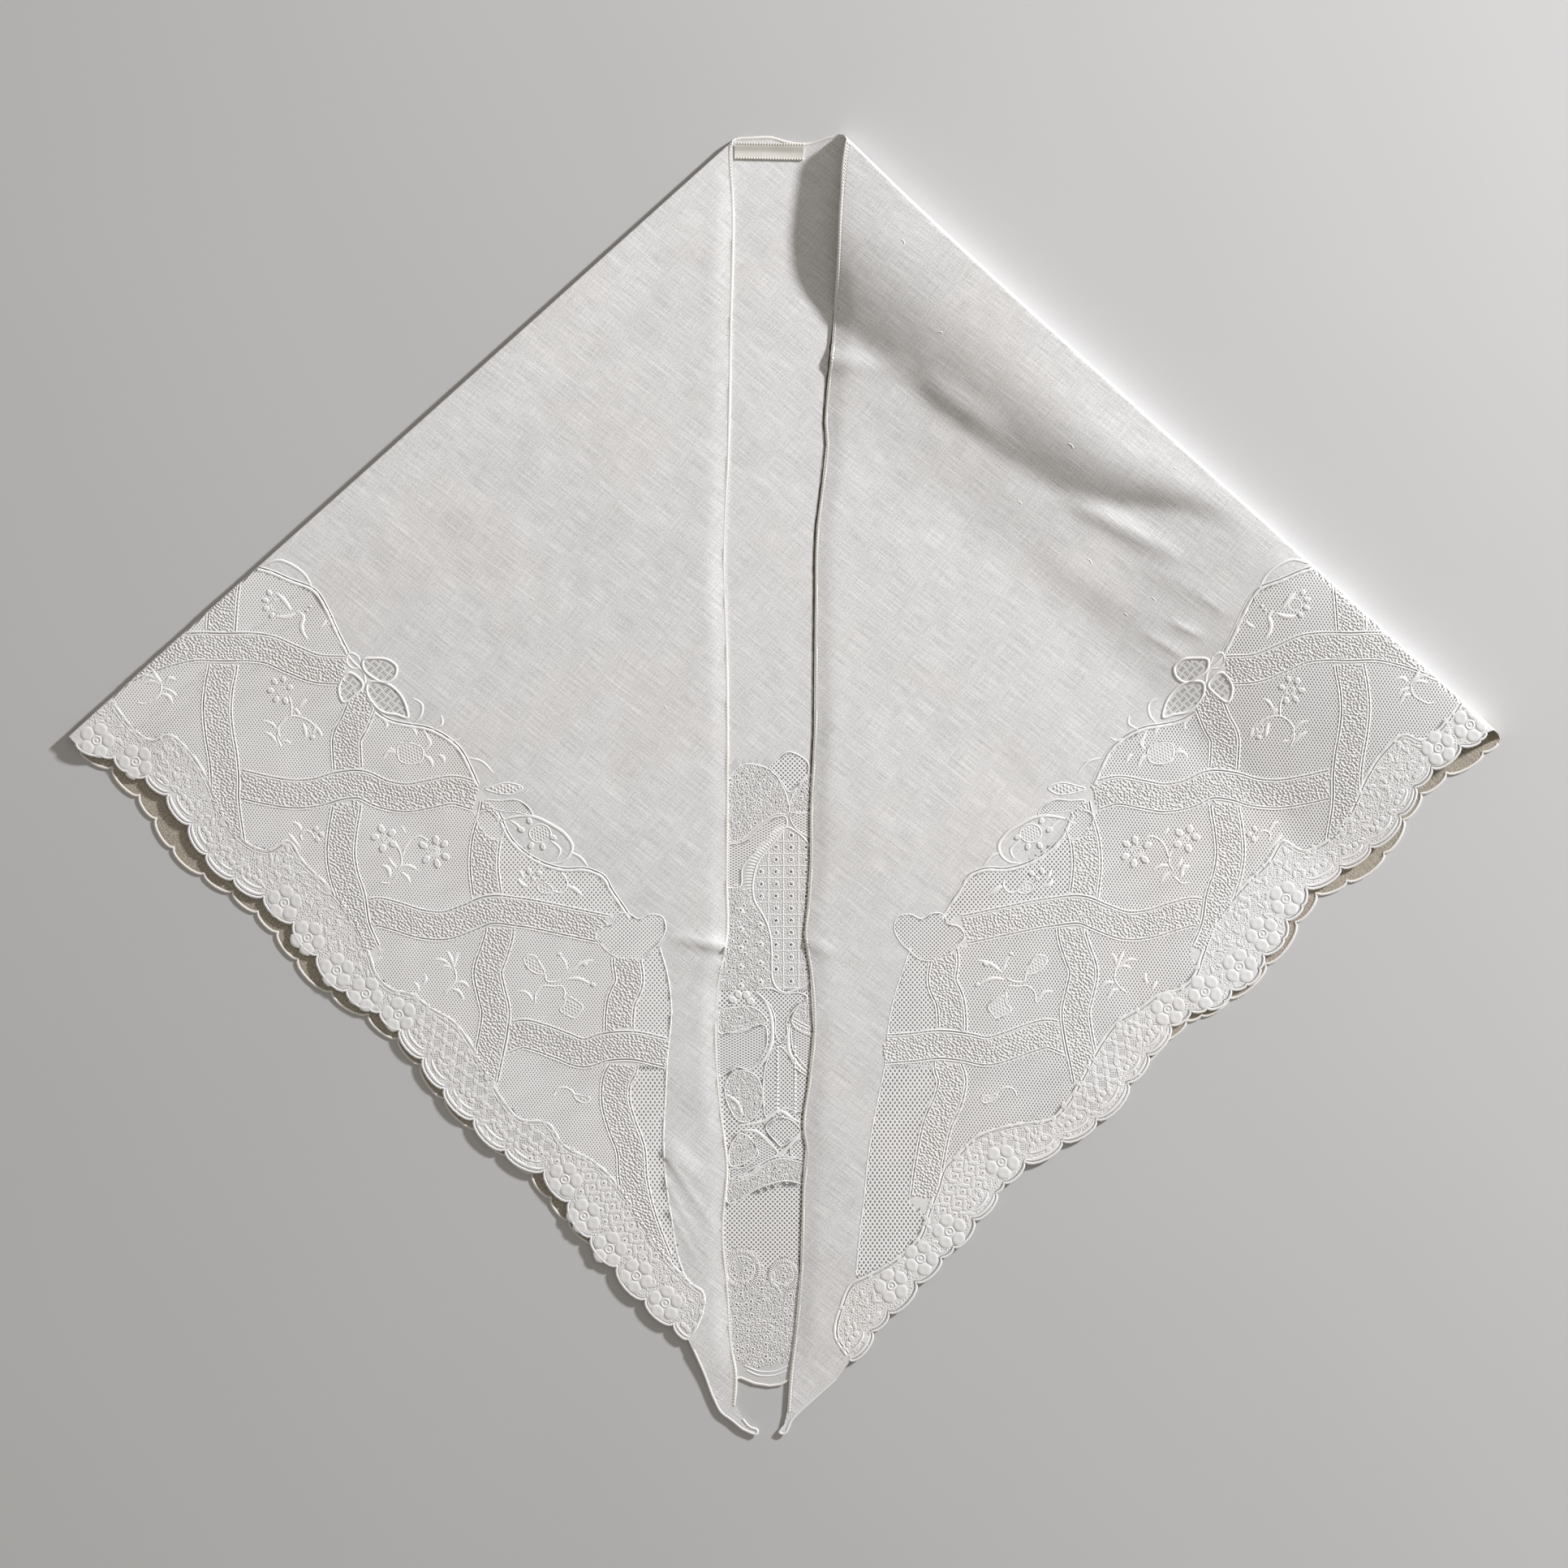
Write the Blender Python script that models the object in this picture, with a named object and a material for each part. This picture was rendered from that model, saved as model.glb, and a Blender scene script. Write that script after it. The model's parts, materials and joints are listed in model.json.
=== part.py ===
"""A triangular muslin fichu with a scalloped whitework border, laid flat with both ends folded forward.

Metres, +Z up, origin on the surface under the middle of the laid fichu, +Y towards the neck edge.
The cloth is cut as one flat triangle. Its middle lies on the surface as the back layer, wrong side up,
and each end turns over a slanting fold and comes back on top, so that the two hemmed edges run down
the middle. The flat cut is worked out from the laid outline by mirroring each front in its fold.
"""

import math

import bmesh
import bpy
import numpy as np
from mathutils import Vector
from mathutils.geometry import delaunay_2d_cdt

MM = 0.001

# Thicknesses and heights, in metres.
CLOTH_THICK = 1.0 * MM
HEM_THICK = 1.7 * MM
HEM_WIDTH = 3.2 * MM
BACK_HEIGHT = CLOTH_THICK / 2
FRONT_HEIGHT = 2.15 * MM
TIP_HEIGHT = 0.9 * MM
SWELL_HEIGHT = 0.7 * MM
SWELL_LENGTH = 170 * MM
# Where, going down, the fronts pass the end of the back layer and come down to the surface.
BACK_END = -288 * MM
BACK_END_RUN = 26 * MM
# A point well inside the laid fichu, which tells inward from outward.
MIDDLE = np.array([0.0, -0.1])

# The museum tape sewn under the neck edge, on the wrong side of the back.
TAPE_SIZE = (34.5 * MM, 8.4 * MM, 0.7 * MM)
TAPE_CENTRE = (-7.4 * MM, 328.0 * MM)
TAPE_TURN = math.radians(-1.8)
TAPE_GAP = 0.3 * MM
TAPE_ROUNDING = 0.18 * MM

# Each fold: a point on its line by the neck, a point on its line by the side corner, and how far
# the line stands outside the silhouette, because the cloth's loop turns back before it.
FOLDS = {
    "left": {"neck": (-40.1, 322.1), "corner": (-344.6, 49.1), "outside": 1.0},
    "right": {"neck": (43.5, 322.1), "corner": (342.5, 49.1), "outside": 5.4},
}

# The loop of each fold and how its front comes down to rest, in millimetres, by distance down the
# fold from the neck point. The roll by the fold comes down to its valley, that far in from the
# loop, and the crown is how much it swells on the way. The wider slope comes down over its reach.
# The roll's share of the height is out of 1000. A loop stands out only by its narrowness times its
# radius, as a fold that has lain under its own weight does.
LOOPS = {
    "left": [
        {"down": 0, "radius": 1.45, "valley": 20, "crown": 0, "reach": 26, "roll": 300},
        {"down": 200, "radius": 1.7, "valley": 24, "crown": 0, "reach": 36, "roll": 300},
        {"down": 430, "radius": 1.5, "valley": 20, "crown": 0, "reach": 26, "roll": 300},
    ],
    "right": [
        {"down": -10, "radius": 4.4, "valley": 62, "crown": 3.0, "reach": 64, "roll": 1000},
        {"down": 20, "radius": 5.2, "valley": 67, "crown": 2.4, "reach": 68, "roll": 1000},
        {"down": 60, "radius": 5.9, "valley": 70, "crown": 1.0, "reach": 72, "roll": 1000},
        {"down": 126, "radius": 5.9, "valley": 67, "crown": 0.8, "reach": 74, "roll": 1000},
        {"down": 180, "radius": 5.7, "valley": 65, "crown": 0.6, "reach": 80, "roll": 860},
        {"down": 225, "radius": 5.4, "valley": 50, "crown": 0.3, "reach": 88, "roll": 560},
        {"down": 265, "radius": 5.2, "valley": 28, "crown": 0, "reach": 96, "roll": 260},
        {"down": 300, "radius": 5.1, "valley": 14, "crown": 0, "reach": 100, "roll": 60},
        {"down": 340, "radius": 5.0, "valley": 14, "crown": 0, "reach": 104, "roll": 0},
        {"down": 440, "radius": 4.4, "valley": 14, "crown": 0, "reach": 106, "roll": 0},
    ],
}
FALL_POWER = 1.7
FOOT_SOFTNESS = 0.05
LOOP_NARROWNESS = 0.5

# The hemmed edges as they lie, from the neck corner to the tip, (x, y) in millimetres.
LEFT_HEM = [
    (-27.3, 333.2), (-26.3, 301.0), (-27.5, 238.0), (-28.8, 171.0), (-30.9, 120.5), (-29.6, 70.0),
    (-29.2, 7.0), (-29.6, -47.5), (-30.0, -83.0), (-33.8, -102.0), (-35.1, -140.0), (-32.6, -170.5),
    (-29.6, -195.5), (-31.7, -232.0), (-29.2, -263.0), (-27.5, -289.0), (-24.8, -306.0), (-25.6, -321.0),
]
RIGHT_HEM = [
    (31.6, 334.2), (27.9, 299.0), (26.3, 263.0), (24.2, 229.0), (21.6, 204.5), (20.4, 188.0),
    (21.2, 176.0), (19.1, 156.0), (16.2, 133.0), (15.3, 87.0), (14.9, 28.0), (12.8, -15.0),
    (12.8, -39.5), (11.6, -60.0), (9.9, -77.0), (12.8, -97.0), (14.5, -127.5), (12.0, -152.5),
    (9.2, -180.0), (10.6, -187.5), (9.0, -207.5), (7.8, -251.0), (5.3, -281.5), (2.3, -306.0),
    (1.1, -324.0),
]
# The bare ends below the border, from the hem round the tip to the border's last scallop.
LEFT_TIP = [
    (-21.5, -328.0), (-18.0, -332.0), (-13.9, -333.6), (-14.1, -336.0), (-20.5, -334.6), (-28.0, -329.0),
    (-33.4, -325.0), (-37.2, -318.0), (-42.2, -305.0), (-47.7, -292.5),
]
RIGHT_TIP = [
    (-0.6, -331.0), (-3.6, -335.4), (-0.9, -336.4), (3.6, -329.0), (17.9, -315.6), (26.3, -308.0),
]
# The neck edge of the back layer, from the left fold to the right one.
NECK_EDGE = [
    (-25.0, 335.2), (-17.8, 335.4), (-5.2, 335.2), (-1.1, 333.9), (4.4, 332.6), (12.0, 332.4),
    (17.8, 334.0), (22.9, 335.6), (27.4, 336.0),
]

# The scalloped edges as they lie, in millimetres: the inward points between the scallops, from the
# side corner to the inner end. Each scallop is a round lobe on the straight line between two.
SCALLOPED_EDGES = {
    "left front": [
        (-366.9, 21.4), (-354.3, 15.5), (-347.1, 14.3), (-340.8, 6.7), (-330.8, 4.2), (-319.4, -5.0),
        (-308.1, -20.6), (-299.7, -36.1), (-285.4, -48.9), (-269.8, -57.8), (-254.3, -71.4), (-242.1, -88.2),
        (-227.0, -106.7), (-215.7, -115.5), (-209.8, -117.6), (-199.7, -126.8), (-187.5, -141.5),
        (-176.6, -157.1), (-161.1, -173.0), (-145.1, -189.0), (-124.5, -199.5), (-111.9, -215.5),
        (-100.6, -234.1), (-87.1, -249.1), (-72.5, -266.3), (-57.8, -279.3), (-50.2, -287.1),
    ],
    "left back": [
        (-367.7, 22.3), (-365.2, 18.1), (-348.4, 8.8), (-334.5, -5.9), (-326.1, -17.6), (-316.9, -32.8),
        (-300.9, -46.2), (-286.2, -55.4), (-273.2, -65.9), (-263.1, -76.4), (-252.6, -90.3),
        (-235.0, -107.1), (-216.1, -118.9), (-200.5, -131.5), (-188.8, -144.9), (-176.2, -162.5),
        (-158.5, -178.5), (-142.6, -191.9), (-131.2, -201.2), (-121.6, -213.8), (-112.3, -225.5),
        (-93.9, -239.0), (-78.8, -254.1), (-65.3, -266.7), (-51.9, -278.0), (-37.6, -289.4), (-22.9, -307.4),
    ],
    "right front": [
        (361.8, 26.9), (358.9, 23.1), (348.4, 20.2), (333.7, 8.4), (325.3, -1.3), (317.7, -16.0),
        (302.6, -32.3), (287.5, -42.8), (269.0, -53.1), (267.8, -62.6), (258.9, -70.1), (258.1, -79.8),
        (247.2, -87.8), (245.9, -94.9), (238.8, -103.7), (230.6, -105.6), (227.8, -112.3), (218.2, -115.9),
        (209.8, -117.0), (199.3, -124.5), (187.9, -139.9), (177.4, -154.1), (161.1, -173.5), (143.4, -184.4),
        (123.7, -195.1), (113.2, -206.2), (109.4, -211.0), (97.6, -225.1), (87.1, -239.6), (80.8, -244.6),
        (67.8, -257.5), (53.5, -273.4), (45.1, -282.7), (33.4, -298.2),
    ],
    "right back": [
        (369.0, 21.4), (361.4, 16.8), (342.1, 5.9), (329.1, -4.6), (320.2, -18.1), (310.2, -35.3),
        (290.8, -50.0), (274.9, -56.3), (264.4, -71.0), (248.8, -92.8), (229.5, -110.5), (215.2, -119.7),
        (207.7, -122.2), (195.5, -132.3), (178.3, -147.4), (161.5, -165.1), (139.7, -179.3),
        (121.2, -190.3), (108.6, -205.4), (91.8, -224.7), (77.5, -242.3), (60.7, -258.3), (43.0, -276.8),
        (28.8, -291.9), (14.5, -302.8), (1.5, -308.3),
    ],
}
BACK_POINT = [(-16.0, -310.4), (-8.0, -311.6), (-2.0, -310.8)]
# How far a scallop stands out, as a share of its width, and its outline: where along it, and how
# much of its depth.
SCALLOP_DEPTHS = {"front": 0.21, "back": 0.17}
LOBE = [(0.0, 0.0), (0.12, 0.56), (0.36, 0.96), (0.64, 0.96), (0.88, 0.56)]

# Creases in the fronts, as they lie: ends, height and half width, in millimetres. The first end
# is the taller one, and the other keeps only a share of the height.
CREASE_END_SHARE = 0.15
CREASES = [
    {"start": (-31.0, -84.5), "end": (-57.0, -79.0), "height": 2.4, "half": 3.4},
    {"start": (-32.0, -95.0), "end": (-52.0, -92.0), "height": 0.8, "half": 5.0},
    {"start": (118.0, 176.0), "end": (66.0, 214.0), "height": 1.5, "half": 6.0},
    {"start": (150.0, 150.0), "end": (226.0, 132.0), "height": 2.2, "half": 8.0},
    {"start": (152.0, 146.0), "end": (212.0, 108.0), "height": 1.2, "half": 9.0},
    {"start": (24.0, 220.0), "end": (60.0, 214.0), "height": 1.4, "half": 5.0},
    {"start": (218.0, 76.0), "end": (196.0, 92.0), "height": 1.2, "half": 4.0},
    {"start": (12.5, -82.0), "end": (28.0, -88.0), "height": 1.5, "half": 3.2},
    {"start": (-58.0, -190.0), "end": (-36.0, -212.0), "height": 0.9, "half": 4.0},
]

# Spacing of the mesh over the flat cut.
OPEN_SPACING = 21 * MM
RAISED_SPACING = 13 * MM
EDGE_CLEARANCE = 5.5 * MM
HEM_SPACING = 12 * MM
LOOP_SPACING = 15 * MM
LOOP_EDGE_SPACING = 2.6 * MM
LOOP_RUN = (-20 * MM, 440 * MM)
LOOP_EDGE_CLEARANCE = 1.6 * MM
LOOP_SIDE_SHARE = 0.35
RAISED_REACH_SHARE = 1.2
RAISED_LIMIT = 0.15 * MM
HEM_ROW_SHARE = 0.8
LOOP_ANGLES = [-90, -50, -15, 20, 55, 90]

MUSLIN = {"name": "white muslin", "colour": (0.80, 0.80, 0.785, 1), "roughness": 0.85}
TAPE = {"name": "cotton tape", "colour": (0.74, 0.72, 0.66, 1), "roughness": 0.9}


def smooth(value):
    """0 below 0, 1 above 1, and an even S between."""
    value = np.clip(value, 0.0, 1.0)
    return value * value * (3 - 2 * value)


def fall(share):
    """A rounded fall from 1 at no distance to 0 past its foot, where it levels out."""
    return FOOT_SOFTNESS * np.logaddexp(0, (1 - share**FALL_POWER) / FOOT_SOFTNESS)


class Fold:
    """One slanting fold: its line, and the loop in which the cloth turns over it."""

    def __init__(self, name):
        row = FOLDS[name]
        neck, corner = (np.array(row[key]) * MM for key in ("neck", "corner"))
        self.along = (corner - neck) / np.linalg.norm(corner - neck)
        inward = np.array([self.along[1], -self.along[0]])
        self.inward = inward * np.sign(inward @ (MIDDLE - neck))
        self.start = neck - self.inward * row["outside"] * MM
        self.rows = LOOPS[name]
        self.down = np.array([row["down"] for row in self.rows]) * MM

    def split(self, points):
        """How far down the fold each point is, and how far outside its line."""
        offset = points - self.start
        return offset @ self.along, -(offset @ self.inward)

    def read(self, column, down):
        """A column of the fold's table, read smoothly at each distance down it."""
        values = np.array([row[column] for row in self.rows]) * MM
        slopes = np.gradient(values, self.down)
        place = np.clip(np.searchsorted(self.down, down) - 1, 0, len(values) - 2)
        span = self.down[place + 1] - self.down[place]
        t = np.clip((down - self.down[place]) / span, 0, 1)
        start, end = values[place], values[place + 1]
        bends = slopes[place] * (1 - t) - slopes[place + 1] * t
        return start + (end - start) * smooth(t) + span * t * (1 - t) * bends

    def radius(self, down):
        return self.read("radius", down)

    def lift(self, down, past, top):
        """How much of the loop's height is left, that far past the loop, plus the roll's crown."""
        share = past / self.read("valley", down)
        slope = fall(past / self.read("reach", down))
        weight = self.read("roll", down)
        crown = self.read("crown", down) * np.sin(math.pi * np.clip(share, 0, 1)) ** 2
        return top * (weight * fall(share) + (1 - weight) * slope) + crown

    def mirror(self, points):
        """Laid points of the front to the flat cut, or back again."""
        points = np.asarray(points, float)
        out = -((points - self.start) @ self.inward)
        return points + 2 * out[:, None] * self.inward

    def at(self, down, out):
        """The flat point that far down the fold and that far outside it."""
        return self.start + self.along * down - self.inward * out


LEFT, RIGHT = Fold("left"), Fold("right")


def swell(laid):
    """Low, slow unevenness of the fronts, from 0 up."""
    turn = 2 * math.pi / SWELL_LENGTH
    waves = np.sin(turn * laid[:, 0] + 0.9 * np.sin(turn * laid[:, 1])) * np.cos(turn * 0.8 * laid[:, 1])
    return SWELL_HEIGHT * (0.5 + 0.5 * waves)


def crease_height(laid):
    total = np.zeros(len(laid))
    for row in CREASES:
        start, end = (np.array(row[key]) * MM for key in ("start", "end"))
        run = end - start
        share = np.clip((laid - start) @ run / (run @ run), 0, 1)
        gap = np.linalg.norm(laid - start - share[:, None] * run, axis=1)
        crest = row["height"] * MM * (1 - (1 - CREASE_END_SHARE) * share)
        total += crest * np.exp(-((gap / (row["half"] * MM)) ** 2))
    return total


def front_rest(laid):
    """Height of the front's middle surface once it is clear of the fold."""
    past_back = smooth((BACK_END - laid[:, 1]) / BACK_END_RUN)
    base = FRONT_HEIGHT + (TIP_HEIGHT - FRONT_HEIGHT) * past_back
    return base + swell(laid) * (1 - past_back) + crease_height(laid)


def drape(flat):
    """Flat points to the laid cloth's middle surface."""
    placed = np.column_stack([flat, np.full(len(flat), BACK_HEIGHT)])
    for fold in (LEFT, RIGHT):
        down, out = fold.split(flat)
        radius = fold.radius(down)
        turn = out / radius
        over = turn > math.pi / 2
        looped = (turn > -math.pi / 2) & ~over
        reach = radius * (math.pi / 2 - LOOP_NARROWNESS * np.cos(turn))
        curve = fold.start + down[:, None] * fold.along + reach[:, None] * fold.inward
        placed[looped, :2] = curve[looped]
        placed[looped, 2] = (BACK_HEIGHT + radius * (1 + np.sin(turn)))[looped]
        if over.any():
            laid = fold.mirror(flat[over])
            past = out[over] - radius[over] * math.pi / 2
            rest = front_rest(laid)
            top = BACK_HEIGHT + 2 * radius[over]
            placed[over, :2] = laid
            placed[over, 2] = rest + fold.lift(down[over], past, top - rest)
    return placed


def scalloped(name):
    """Laid points along one scalloped edge, from the side corner to its inner end.

    The lobes stand out downwards and away from the middle line.
    """
    corners = np.array(SCALLOPED_EDGES[name]) * MM
    depth = SCALLOP_DEPTHS[name.split()[1]]
    points = []
    for start, end in zip(corners[:-1], corners[1:]):
        run = end - start
        outward = np.array([run[1], -run[0]])
        outward *= np.sign(outward @ np.array([start[0], BACK_END]))
        points += [start + run * along + outward * depth * share for along, share in LOBE]
    return np.array(points + [corners[-1]])


def refined(outline):
    """The closed outline with short edges near the folds and longer ones elsewhere."""
    points = []
    for a, b in zip(outline, np.roll(outline, -1, axis=0)):
        middle = ((a + b) / 2)[None]
        spacing = HEM_SPACING
        for fold in (LEFT, RIGHT):
            down, out = fold.split(middle)
            if abs(out[0]) < math.pi / 2 * fold.radius(down)[0] + np.linalg.norm(b - a) / 2:
                spacing = LOOP_EDGE_SPACING
        steps = max(1, math.ceil(np.linalg.norm(b - a) / spacing))
        points += [a + (b - a) * step / steps for step in range(steps)]
    return np.array(points)


def flat_outline():
    """The cut's outline, anticlockwise from the point of the back."""
    right_front = np.concatenate([
        scalloped("right front"), np.array(RIGHT_TIP[::-1]) * MM, np.array(RIGHT_HEM[::-1]) * MM,
    ])
    left_front = np.concatenate([
        np.array(LEFT_HEM) * MM, np.array(LEFT_TIP) * MM, scalloped("left front")[::-1],
    ])
    return refined(np.concatenate([
        np.array(BACK_POINT) * MM,
        scalloped("right back")[:0:-1],
        RIGHT.mirror(right_front),
        np.array(NECK_EDGE[::-1]) * MM,
        LEFT.mirror(left_front),
        scalloped("left back")[1:],
    ]))


def outline_gap(points, outline):
    """Distance of each point to the outline, and whether it is inside."""
    ends = np.roll(outline, -1, axis=0)
    inside = np.zeros(len(points), bool)
    nearest = np.full(len(points), np.inf)
    for a, b in zip(outline, ends):
        run = b - a
        share = np.clip((points - a) @ run / (run @ run), 0, 1)
        nearest = np.minimum(nearest, np.linalg.norm(points - a - share[:, None] * run, axis=1))
        spans = (a[1] > points[:, 1]) != (b[1] > points[:, 1])
        if spans.any():
            crossing = a[0] + (points[spans, 1] - a[1]) * run[0] / run[1]
            inside[spans] ^= points[spans, 0] < crossing
    return nearest, inside


def honeycomb(low, high, spacing):
    """Points of an even triangular grid over a box."""
    rows = np.arange(low[1], high[1], spacing * math.sqrt(3) / 2)
    return np.array([
        (x, y)
        for i, y in enumerate(rows)
        for x in np.arange(low[0] + (i % 2) * spacing / 2, high[0], spacing)
    ])


def raised(flat):
    """Whether each flat point lies where the front stands up or is creased."""
    found = np.zeros(len(flat), bool)
    down, out = RIGHT.split(flat)
    found |= (out > 0) & (out < RAISED_REACH_SHARE * RIGHT.read("reach", down))
    for fold in (LEFT, RIGHT):
        _, out = fold.split(flat)
        found |= (out > 0) & (crease_height(fold.mirror(flat)) > RAISED_LIMIT)
    return found


def mesh_points(outline):
    """The outline, then rows of points round each fold's loop, then grids over the rest."""
    low, high = outline.min(axis=0), outline.max(axis=0)
    inner = []
    for fold in (LEFT, RIGHT):
        downs = np.arange(*LOOP_RUN, LOOP_SPACING)
        for row, angle in enumerate(LOOP_ANGLES):
            offset = (row % 2) * LOOP_SPACING / 2
            inner += [fold.at(d + offset, fold.radius(d + offset) * math.radians(angle)) for d in downs]
    loops = np.array(inner)
    coarse, fine = honeycomb(low, high, OPEN_SPACING), honeycomb(low, high, RAISED_SPACING)
    grid = np.concatenate([coarse[~raised(coarse)], fine[raised(fine)]])
    for fold in (LEFT, RIGHT):
        down, out = fold.split(grid)
        grid = grid[np.abs(out) > math.pi / 2 * fold.radius(down) + LOOP_SIDE_SHARE * OPEN_SPACING]
    near, inside = outline_gap(grid, outline)
    grid = grid[inside & (near > EDGE_CLEARANCE)]
    near, inside = outline_gap(loops, outline)
    loops = loops[inside & (near > LOOP_EDGE_CLEARANCE)]
    hems = hem_row(outline)
    return np.concatenate([outline, loops, hems, grid])


def hem_row(outline):
    """A row of points just inside the hemmed edge, where the rolled hem meets the cloth."""
    along = np.roll(outline, -1, axis=0) - np.roll(outline, 1, axis=0)
    left = np.column_stack([-along[:, 1], along[:, 0]]) / np.linalg.norm(along, axis=1)[:, None]
    inner = (outline + left * HEM_WIDTH)[on_hem(outline)]
    near, inside = outline_gap(inner, outline)
    return inner[inside & (near > HEM_ROW_SHARE * HEM_WIDTH)]


def on_hem(flat):
    """Whether each flat point is on or near the hemmed long edge."""
    edge = np.concatenate([
        LEFT.mirror(np.array(LEFT_HEM[::-1]) * MM), np.array(NECK_EDGE) * MM,
        RIGHT.mirror(np.array(RIGHT_HEM) * MM),
    ])
    gap = np.full(len(flat), np.inf)
    for a, b in zip(edge[:-1], edge[1:]):
        run = b - a
        share = np.clip((flat - a) @ run / (run @ run), 0, 1)
        gap = np.minimum(gap, np.linalg.norm(flat - a - share[:, None] * run, axis=1))
    return gap < HEM_WIDTH / 2


def new_object(name, vertices, faces, look):
    material = bpy.data.materials.new(look["name"])
    material.use_nodes = True
    shader = material.node_tree.nodes["Principled BSDF"]
    shader.inputs["Base Color"].default_value = look["colour"]
    shader.inputs["Roughness"].default_value = look["roughness"]
    shader.inputs["Metallic"].default_value = 0.0
    mesh = bpy.data.meshes.new(name)
    mesh.from_pydata([tuple(v) for v in vertices], [], faces)
    mesh.materials.append(material)
    mesh.update()
    obj = bpy.data.objects.new(name, mesh)
    bpy.context.scene.collection.objects.link(obj)
    return obj


def make_cloth():
    outline = flat_outline()
    points = mesh_points(outline)
    count = len(outline)
    edges = [(i, (i + 1) % count) for i in range(count)]
    flat, _, faces, _, _, _ = delaunay_2d_cdt([Vector(p) for p in points], edges, [], 1, 1e-7)
    flat = np.array([tuple(p) for p in flat])
    placed = drape(flat)
    hem = on_hem(flat)
    lift = (HEM_THICK - CLOTH_THICK) / 2
    placed[hem & (placed[:, 2] < BACK_HEIGHT + lift), 2] = BACK_HEIGHT + lift
    cloth = new_object("cloth", placed, [tuple(face) for face in faces], MUSLIN)
    group = cloth.vertex_groups.new(name="thickness")
    group.add([int(i) for i in np.flatnonzero(hem)], 1.0, "REPLACE")
    body_share = CLOTH_THICK / HEM_THICK
    group.add([int(i) for i in np.flatnonzero(~hem)], body_share, "REPLACE")
    solidify = cloth.modifiers.new("thickness", "SOLIDIFY")
    solidify.thickness = HEM_THICK
    solidify.offset = 0.0
    solidify.vertex_group = group.name
    cloth.data.shade_smooth()
    return cloth


def make_tape():
    """The name tape, a slightly rounded strip lying on the back just below the neck edge."""
    length, width, thick = TAPE_SIZE
    builder = bmesh.new()
    bmesh.ops.create_cube(builder, size=1.0)
    bmesh.ops.scale(builder, vec=(length, width, thick), verts=builder.verts)
    edges = [e for e in builder.edges if abs(e.verts[0].co.z - e.verts[1].co.z) < thick / 2]
    bmesh.ops.bevel(builder, geom=edges, offset=TAPE_ROUNDING, segments=1, affect="EDGES")
    mesh = bpy.data.meshes.new("tape")
    builder.to_mesh(mesh)
    builder.free()
    corners = [vertex.co for vertex in mesh.vertices]
    faces = [tuple(polygon.vertices) for polygon in mesh.polygons]
    tape = new_object("label_tape", corners, faces, TAPE)
    tape.location = (*TAPE_CENTRE, HEM_THICK + TAPE_GAP + thick / 2)
    tape.rotation_euler = (0, 0, TAPE_TURN)
    return tape


def main():
    for obj in list(bpy.data.objects):
        bpy.data.objects.remove(obj)
    make_cloth()
    make_tape()


main()
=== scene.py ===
import json
import math

import bpy
import numpy as np
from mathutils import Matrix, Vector
from mathutils.geometry import delaunay_2d_cdt
from mathutils.kdtree import KDTree

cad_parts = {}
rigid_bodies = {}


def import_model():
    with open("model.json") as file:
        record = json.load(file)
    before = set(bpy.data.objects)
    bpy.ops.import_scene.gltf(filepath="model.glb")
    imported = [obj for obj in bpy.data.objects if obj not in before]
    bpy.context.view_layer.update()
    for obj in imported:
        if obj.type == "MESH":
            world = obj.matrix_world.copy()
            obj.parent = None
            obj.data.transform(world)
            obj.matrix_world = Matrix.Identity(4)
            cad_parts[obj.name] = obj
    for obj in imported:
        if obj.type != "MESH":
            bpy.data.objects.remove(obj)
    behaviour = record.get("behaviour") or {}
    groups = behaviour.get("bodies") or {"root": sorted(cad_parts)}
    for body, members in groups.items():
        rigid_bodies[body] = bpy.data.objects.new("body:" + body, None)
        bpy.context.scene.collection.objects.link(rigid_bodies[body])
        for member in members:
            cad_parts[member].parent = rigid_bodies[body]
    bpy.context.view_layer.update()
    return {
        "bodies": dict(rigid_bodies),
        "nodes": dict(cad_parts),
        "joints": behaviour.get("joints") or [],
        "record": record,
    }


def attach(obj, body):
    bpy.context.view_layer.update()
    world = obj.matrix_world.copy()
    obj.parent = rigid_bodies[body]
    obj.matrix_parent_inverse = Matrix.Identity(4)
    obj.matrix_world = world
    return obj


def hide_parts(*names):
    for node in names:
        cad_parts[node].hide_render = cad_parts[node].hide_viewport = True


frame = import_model()
mm = 0.001

# Sizes in tables are millimetres. "Laid" places are as seen from above, with x to the right and y to the
# neck. The cloth's "flat" places are on the cut before it was folded, where the back layer lies as it is.

# The cloth's shape, as in the part's source, with the cloth at its real thickness
clothShape = {
    "thick": 0.35 * mm, "backHeight": 0.2 * mm, "frontHeight": 1.25 * mm, "tipHeight": 0.95 * mm,
    "swellHeight": 0.5 * mm, "swellLength": 170 * mm, "backEnd": -288 * mm, "backEndRun": 26 * mm,
    "slopePower": 1.3, "footSoftness": 0.05, "loopNarrowness": 0.5, "loopSquareness": 0.35,
    "creaseEndShare": 0.15,
    "hemRest": 0.77 * mm, "hemSlope": 9 * mm, "frontHemHeight": 0.72 * mm, "frontHemRun": 9 * mm,
    "neckLift": 2.6 * mm, "neckLiftFrom": (9 * mm, 262 * mm), "neckLiftRun": (21 * mm, 60 * mm),
}
middlePoint = np.array([0.0, -0.1])

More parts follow.
